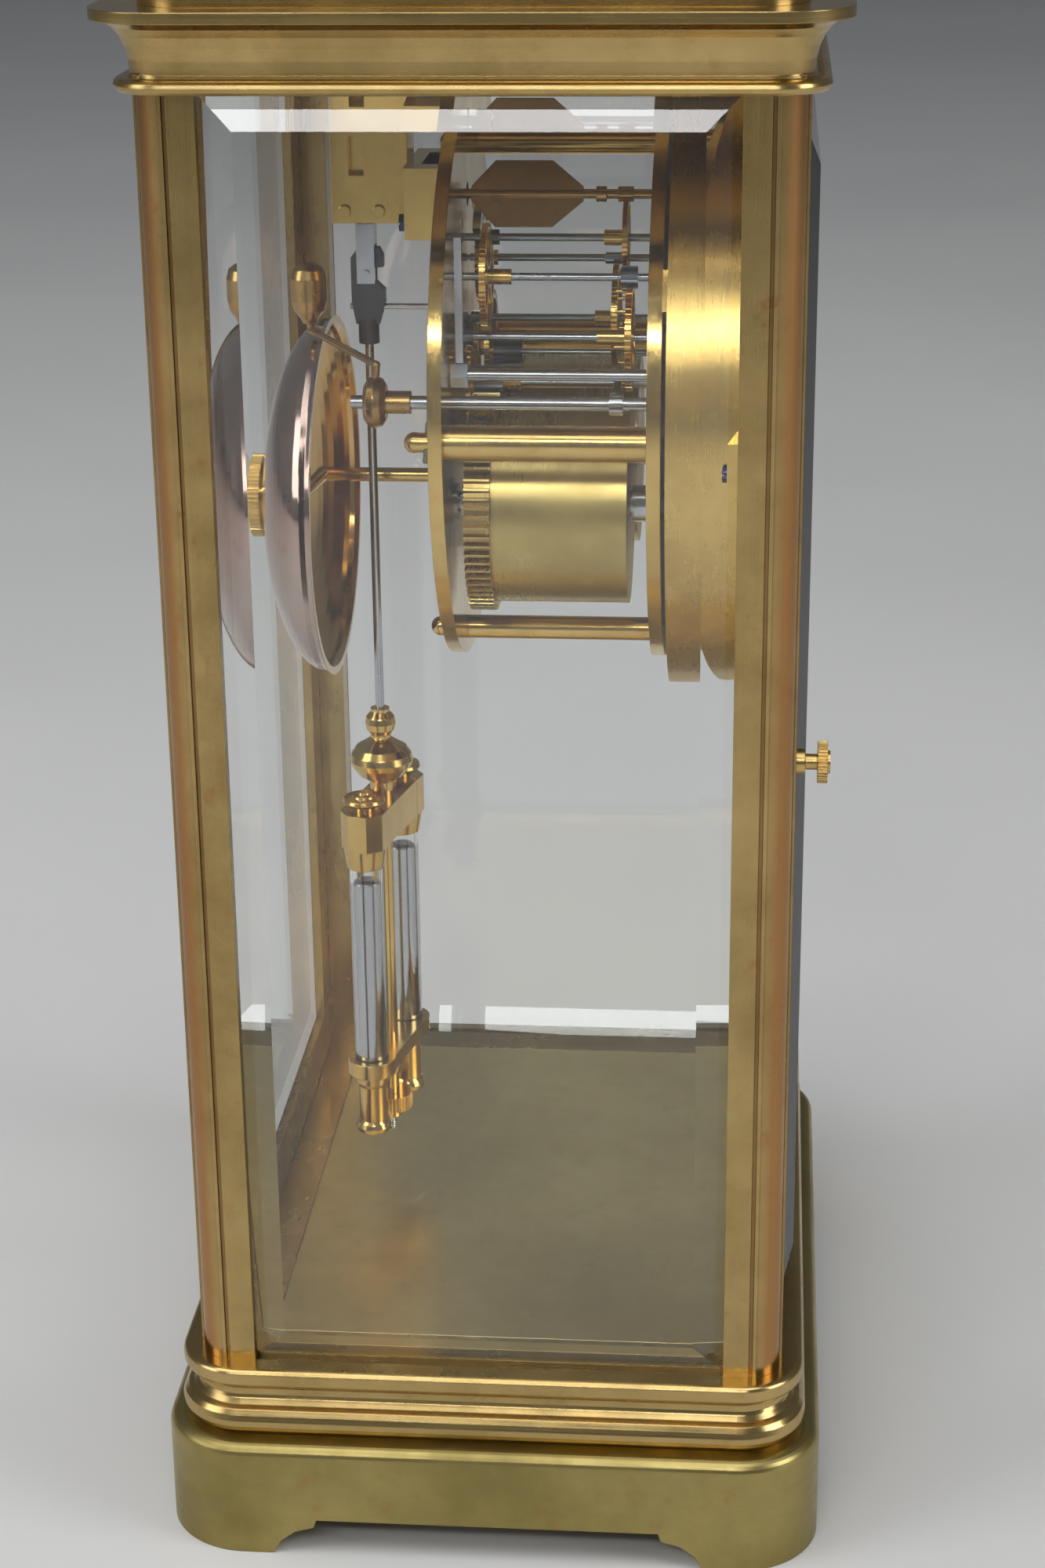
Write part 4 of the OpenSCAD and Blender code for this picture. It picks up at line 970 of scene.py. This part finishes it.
@dataclass
class DialFace:
    """The enamel dial with its numerals and minute track."""

    numeral_low: float = 37.5 * MM
    numeral_high: float = 47.0 * MM
    track_low: float = 48.8 * MM
    track_high: float = 50.7 * MM
    track_line: float = 0.18 * MM
    track_steps: int = 180
    hour_mark: float = 0.5 * MM
    minute_mark: float = 0.2 * MM
    ink_height: float = 0.06 * MM
    ink_sink: float = 0.012 * MM
    thick: float = 1.45 * MM
    thin: float = 0.42 * MM
    serif: float = 2.465 * MM
    narrow_letter: float = 2.35 * MM
    wide_letter: float = 5.6 * MM
    letter_margin: float = 0.9 * MM
    centre: Vector = field(init=False)

    def __post_init__(self) -> None:
        """Finds the dial's centre on the face of the enamel."""
        axis = joint_place("centre_arbor")
        self.centre = Vector((axis.x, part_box("dial")[0].y, axis.z))

    def dress(self) -> None:
        """Finishes the enamel and prints the dial."""
        dress(Enamel("enamel", (0.86, 0.85, 0.8), (0.79, 0.77, 0.7)), ("dial",))
        ink = Enamel("ink", (0.012, 0.012, 0.014), (0.02, 0.02, 0.024), roughness=0.2).build()
        self.print_face(ink)

    def print_face(self, ink: bpy.types.Material) -> None:
        """Adds the numerals and the minute track as fired strokes.

        Args:
            ink: the printing's finish.
        """
        mesh = bmesh.new()
        for hour, word in enumerate(("XII", "I", "II", "III", "IIII", "V", "VI", "VII", "VIII", "IX", "X", "XI")):
            self.add_numeral(mesh, word, math.radians(30 * hour))
        for minute in range(60):
            wide = self.hour_mark if minute % 5 == 0 else self.minute_mark
            self.add_stroke(mesh, math.radians(6 * minute), (0.0, self.track_low), (0.0, self.track_high), wide)
        for radius in (self.track_low, self.track_high):
            self.add_circle(mesh, radius)
        add_piece("dial_printing", mesh, ink, "case")

    def point(self, turn: float, across: float, out: float, lift: float) -> Vector:
        """Returns a point on the dial.

        Args:
            turn: how far clockwise the ray through the point's letter or mark is turned, in radians.
            across: the distance to the right of that ray.
            out: the distance along it from the centre.
            lift: the height above the enamel.

        Returns:
            The point, in the frame's metres.
        """
        radial = Vector((math.sin(turn), 0.0, math.cos(turn)))
        along = Vector((math.cos(turn), 0.0, -math.sin(turn)))
        return self.centre + across * along + out * radial - Vector((0.0, lift, 0.0))

    def add_prism(self, mesh: bmesh.types.BMesh, turn: float, outline: Sequence[Spot]) -> None:
        """Adds a flat raised outline to the printing.

        Args:
            mesh: the printing.
            turn: how far clockwise the outline is turned, in radians.
            outline: its corners, across and out.
        """
        low = [mesh.verts.new(self.point(turn, *spot, -self.ink_sink)) for spot in outline]
        high = [mesh.verts.new(self.point(turn, *spot, self.ink_height)) for spot in outline]
        mesh.faces.new(low)
        mesh.faces.new(high)
        for index in range(len(outline)):
            after = (index + 1) % len(outline)
            mesh.faces.new((low[index], low[after], high[after], high[index]))

    def add_stroke(self, mesh: bmesh.types.BMesh, turn: float, start: Spot, end: Spot, wide: float) -> None:
        """Adds one straight stroke whose ends are level.

        Args:
            mesh: the printing.
            turn: how far clockwise the stroke is turned, in radians.
            start: the middle of its inner end, across and out.
            end: the middle of its outer end.
            wide: its width.
        """
        half = wide / 2
        inner = [(start[0] - half, start[1]), (start[0] + half, start[1])]
        outer = [(end[0] + half, end[1]), (end[0] - half, end[1])]
        self.add_prism(mesh, turn, inner + outer)

    def add_circle(self, mesh: bmesh.types.BMesh, radius: float) -> None:
        """Adds a thin closed ring as a chain of short blocks.

        Args:
            mesh: the printing.
            radius: the ring's middle radius.
        """
        low, high = radius - self.track_line / 2, radius + self.track_line / 2
        reach = high * math.tan(math.pi / self.track_steps)
        block = [(-reach, low), (reach, low), (reach, high), (-reach, high)]
        for index in range(self.track_steps):
            self.add_prism(mesh, math.tau * index / self.track_steps, block)

    def add_numeral(self, mesh: bmesh.types.BMesh, word: str, turn: float) -> None:
        """Adds one Roman numeral standing on the inner circle.

        Args:
            mesh: the printing.
            word: the numeral's letters.
            turn: how far clockwise it stands, in radians.
        """
        widths = [self.narrow_letter if letter == "I" else self.wide_letter for letter in word]
        across = -sum(widths) / 2
        for letter, width in zip(word, widths):
            self.add_letter(mesh, letter, turn, across + width / 2, width / 2)
            across += width

    def add_letter(self, mesh: bmesh.types.BMesh, letter: str, turn: float, mid: float, half: float) -> None:
        """Adds one letter of a numeral with its serifs.

        Args:
            mesh: the printing.
            letter: I, V or X.
            turn: how far clockwise the numeral stands, in radians.
            mid: the letter's middle, across.
            half: half of its width.
        """
        low, high = self.numeral_low, self.numeral_high
        reach = half - self.letter_margin
        if letter == "I":
            strokes = [(mid, mid, self.thick)]
            feet, heads = [mid], [mid]
        elif letter == "V":
            strokes = [(mid, mid - reach, self.thick), (mid, mid + reach, self.thin)]
            feet, heads = [], [mid - reach, mid + reach]
        else:
            strokes = [(mid + reach, mid - reach, self.thick), (mid - reach, mid + reach, self.thin)]
            feet, heads = [mid - reach, mid + reach], [mid - reach, mid + reach]
        for foot, head, wide in strokes:
            self.add_stroke(mesh, turn, (foot, low), (head, high), wide)
        for spots, level in ((feet, low), (heads, high)):
            for spot in spots:
                under, over = (spot, level - self.thin / 2), (spot, level + self.thin / 2)
                self.add_stroke(mesh, turn, under, over, self.serif)


@dataclass
class StrikeBell:
    """The bell: polished, with a painted reddish reflection on the outside and a painted golden reflection inside."""

    # The outside's reddish tint is a painted reflection; inside is a painted golden reflection.
    outside_with_reflection: Colour = (0.5, 0.32, 0.26)
    outside_aged: Colour = (0.5, 0.42, 0.38)
    outside_stain: Colour = (0.4, 0.2, 0.16)
    inside: Colour = (0.62, 0.38, 0.13)

    def dress(self) -> None:
        """Finishes the bell and paints a golden reflection on the faces that turn inward, by which way its wall
        faces.
        """
        centre = tuple((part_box("bell")[0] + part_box("bell")[1]) / 2)
        material = dress(
            Metal(
                "bell_metal",
                self.outside_with_reflection,
                self.outside_aged,
                self.outside_stain,
                roughness=0.06,
                rough_dull=0.1,
                turned=True,
                centre=centre,
                grain_depth=0.02,
            ),
            ("bell",),
        )
        g = Graph(material.node_tree)
        shader = material.node_tree.nodes["Principled BSDF"]
        # Painted reflection: faces that turn towards -Y, which are mostly the bell's inside, take the golden inside
        # colour.
        _, back, _ = g.split(g.add("ShaderNodeNewGeometry").outputs["True Normal"])
        painted_reflection_share = g.spread(back, 0.02, -0.05)
        plain = shader.inputs["Base Color"].links[0].from_socket
        g.feed(shader.inputs["Base Color"], g.mix(painted_reflection_share, plain, self.inside))


@dataclass
class PendulumWork:
    """The bob's bright fittings, the mercury and the rod's thread."""

    thread_pitch: float = 0.5 * MM
    thread_proud: float = 0.12 * MM
    thread_half: float = 0.225 * MM
    thread_steps: int = 20
    nut_travel: float = 1.0 * MM
    dome_height: float = 0.7 * MM
    dome_steps: int = 32
    dome_rings: int = 6
    bore: float = 2.9 * MM
    gap: float = 0.06 * MM

    def dress(self) -> None:
        """Finishes the bob and adds the thread and the mercury's domes."""
        dress(
            Metal(
                "gilt_brass",
                bright=(0.78, 0.54, 0.17),
                dull=(0.62, 0.4, 0.12),
                stain=(0.5, 0.25, 0.07),
                roughness=0.1,
                rough_dull=0.12,
                stain_amount=0.5,
            ),
            ("bob_frame", "rating_nut"),
        )
        liquid = dress(
            Metal(
                "mercury",
                bright=(0.5, 0.5, 0.52),
                dull=(0.45, 0.45, 0.47),
                stain=(0.38, 0.37, 0.37),
                roughness=0.03,
                rough_dull=0.03,
                stain_amount=0.2,
            ),
            ("mercury",),
        )
        self.add_domes(liquid)
        self.add_thread(frame["nodes"]["pendulum_rod"].data.materials[0])

    def add_domes(self, liquid: bpy.types.Material) -> None:
        """Adds the rounded tops that mercury stands up in.

        Args:
            liquid: the mercury's finish.
        """
        low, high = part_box("mercury")
        mesh = bmesh.new()
        for mid_x, mid_y in ((low.x + self.bore, high.y - self.bore), (high.x - self.bore, low.y + self.bore)):
            self.add_dome(mesh, Vector((mid_x, mid_y, high.z - self.gap)))
        add_piece("mercury_domes", mesh, liquid, "bob")

    def add_dome(self, mesh: bmesh.types.BMesh, base: Vector) -> None:
        """Adds one closed dome over a level disc.

        Args:
            mesh: the domes.
            base: the middle of the disc.
        """
        radius = self.bore - self.gap
        turns = [math.tau * step / self.dome_steps for step in range(self.dome_steps)]
        loops = []
        for ring in range(self.dome_rings):
            climb = math.pi / 2 * ring / self.dome_rings
            reach, rise = radius * math.cos(climb), self.dome_height * math.sin(climb)
            spots = (Vector((reach * math.cos(turn), reach * math.sin(turn), rise)) for turn in turns)
            loops.append([mesh.verts.new(base + spot) for spot in spots])
        top = mesh.verts.new(base + Vector((0.0, 0.0, self.dome_height)))
        mesh.faces.new(loops[0])
        for under, over in zip(loops, loops[1:]):
            for step in range(self.dome_steps):
                after = (step + 1) % self.dome_steps
                mesh.faces.new((under[step], under[after], over[after], over[step]))
        for step in range(self.dome_steps):
            mesh.faces.new((loops[-1][step], loops[-1][(step + 1) % self.dome_steps], top))

    def add_thread(self, steel: bpy.types.Material) -> None:
        """Adds the screw thread at the foot of the rod, below the nut's travel.

        Args:
            steel: the rod's finish.
        """
        low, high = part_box("pendulum_rod")
        nut_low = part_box("rating_nut")[0].z - self.nut_travel
        radius = (high.x - low.x) / 2
        mid = Vector(((low.x + high.x) / 2, (low.y + high.y) / 2, 0.0))
        turns = int((nut_low - low.z - self.thread_pitch) / self.thread_pitch)
        root, crest = radius - self.gap, radius + self.thread_proud
        profile = ((root, -self.thread_half), (crest, 0.0), (root, self.thread_half))
        mesh = bmesh.new()
        rings = []
        for step in range(turns * self.thread_steps + 1):
            turn = math.tau * step / self.thread_steps
            level = low.z + self.thread_pitch * (0.5 + step / self.thread_steps)
            outward = Vector((math.cos(turn), math.sin(turn), 0.0))
            spots = (mid + reach * outward + Vector((0.0, 0.0, level + rise)) for reach, rise in profile)
            rings.append([mesh.verts.new(spot) for spot in spots])
        for first, second in zip(rings, rings[1:]):
            for side in range(len(profile)):
                after = (side + 1) % len(profile)
                mesh.faces.new((first[side], first[after], second[after], second[side]))
        mesh.faces.new(rings[0])
        mesh.faces.new(rings[-1])
        add_piece("rod_thread", mesh, steel, "pendulum")


@dataclass(frozen=True)
class Lamp:
    """A soft lamp: where it hangs and how large it is, in metres, and its power, in watts."""

    name: str
    spot: Point
    size: tuple[float, float]
    power: float

    def hang(self) -> None:
        """Hangs the lamp so that it faces the clock."""
        data = bpy.data.lights.new(self.name, "AREA")
        data.shape = "RECTANGLE"
        data.size, data.size_y = self.size
        data.energy = self.power
        lamp = bpy.data.objects.new(self.name, data)
        bpy.context.scene.collection.objects.link(lamp)
        lamp.location = self.spot
        aim = (CAD_BOX[0] + CAD_BOX[1]) / 2 - Vector(self.spot)
        lamp.rotation_euler = aim.to_track_quat("-Z", "Y").to_euler()


@dataclass
class Studio:
    """A pale floor, soft lamps and the camera."""

    eye: Point = (-0.579116, -0.051284, 0.353282)
    yaw: float = 0.086
    pitch: float = 0.36
    roll: float = -0.011
    focal_pixels: float = 3700.131
    near_clip: float = 0.01
    floor_half: float = 6.0
    floor_drop: float = 0.1 * MM
    floor_dark: Colour = (0.62, 0.62, 0.62)
    floor_light: Colour = (0.66, 0.66, 0.655)
    floor_roughness: float = 0.8
    sky: Colour = (0.62, 0.64, 0.67)
    sky_strength: float = 0.2
    lamps: tuple[Lamp, ...] = (
        Lamp("top_lamp", (-0.3, 0.2, 1.6), (1.4, 1.2), 13.0),
        Lamp("front_lamp", (-0.75, -2.1, 1.3), (1.1, 1.8), 22.0),
        Lamp("back_lamp", (-1.0, 1.95, 1.35), (1.1, 1.8), 18.0),
        Lamp("strip_lamp", (-1.15, 0.15, 0.93), (1.0, 0.1), 4.0),
    )

    def build(self) -> None:
        """Lays the floor, hangs the lamps and sets the camera."""
        self.lay_floor()
        self.light()
        self.aim()
        bpy.context.scene.view_settings.view_transform = "Standard"

    def lay_floor(self) -> None:
        """Adds the pale floor."""
        material, g, shader = start_material("floor_paper")
        tone = g.spread(g.noise(g.place(), 3.0, 4.0), 0.3, 0.7)
        g.feed(shader.inputs["Base Color"], g.mix(tone, self.floor_dark, self.floor_light))
        shader.inputs["Roughness"].default_value = self.floor_roughness
        mesh = bmesh.new()
        half, level = self.floor_half, CAD_BOX[0].z - self.floor_drop
        corners = ((-half, -half), (half, -half), (half, half), (-half, half))
        mesh.faces.new([mesh.verts.new((x, y, level)) for x, y in corners])
        floor = add_object("floor", mesh, material)

    def light(self) -> None:
        """Hangs the lamps and sets the sky."""
        for lamp in self.lamps:
            lamp.hang()
        world = bpy.data.worlds.new("sky")
        bpy.context.scene.world = world
        world.use_nodes = True
        sky = world.node_tree.nodes["Background"]
        sky.inputs["Color"].default_value = (*self.sky, 1.0)
        sky.inputs["Strength"].default_value = self.sky_strength

    def aim(self) -> None:
        """Sets the camera at the photograph's viewing angle."""
        level = math.cos(self.pitch)
        forward = Vector((level * math.cos(self.yaw), level * math.sin(self.yaw), -math.sin(self.pitch)))
        right = forward.cross(Vector((0.0, 0.0, 1.0))).normalized()
        up = right.cross(forward)
        across = math.cos(self.roll) * right + math.sin(self.roll) * up
        above = math.cos(self.roll) * up - math.sin(self.roll) * right
        data = bpy.data.cameras.new("camera")
        data.sensor_width = SENSOR_MM
        data.lens = self.focal_pixels / PHOTO_LONG_SIDE * SENSOR_MM
        data.clip_start = self.near_clip
        camera = bpy.data.objects.new("camera", data)
        bpy.context.scene.collection.objects.link(camera)
        turn = Matrix((across, above, -forward)).transposed().to_4x4()
        camera.matrix_world = Matrix.Translation(Vector(self.eye)) @ turn
        bpy.context.scene.camera = camera


def main() -> None:
    """Builds the finishes and pieces in order."""
    logging.basicConfig(level=logging.INFO, format="%(name)s: %(message)s")
    Studio().build()
    build_effects()
    for part in (CaseWork(), Panes(), Movement(), DialFace(), StrikeBell(), PendulumWork()):
        part.dress()


if __name__ == "__main__":
    main()
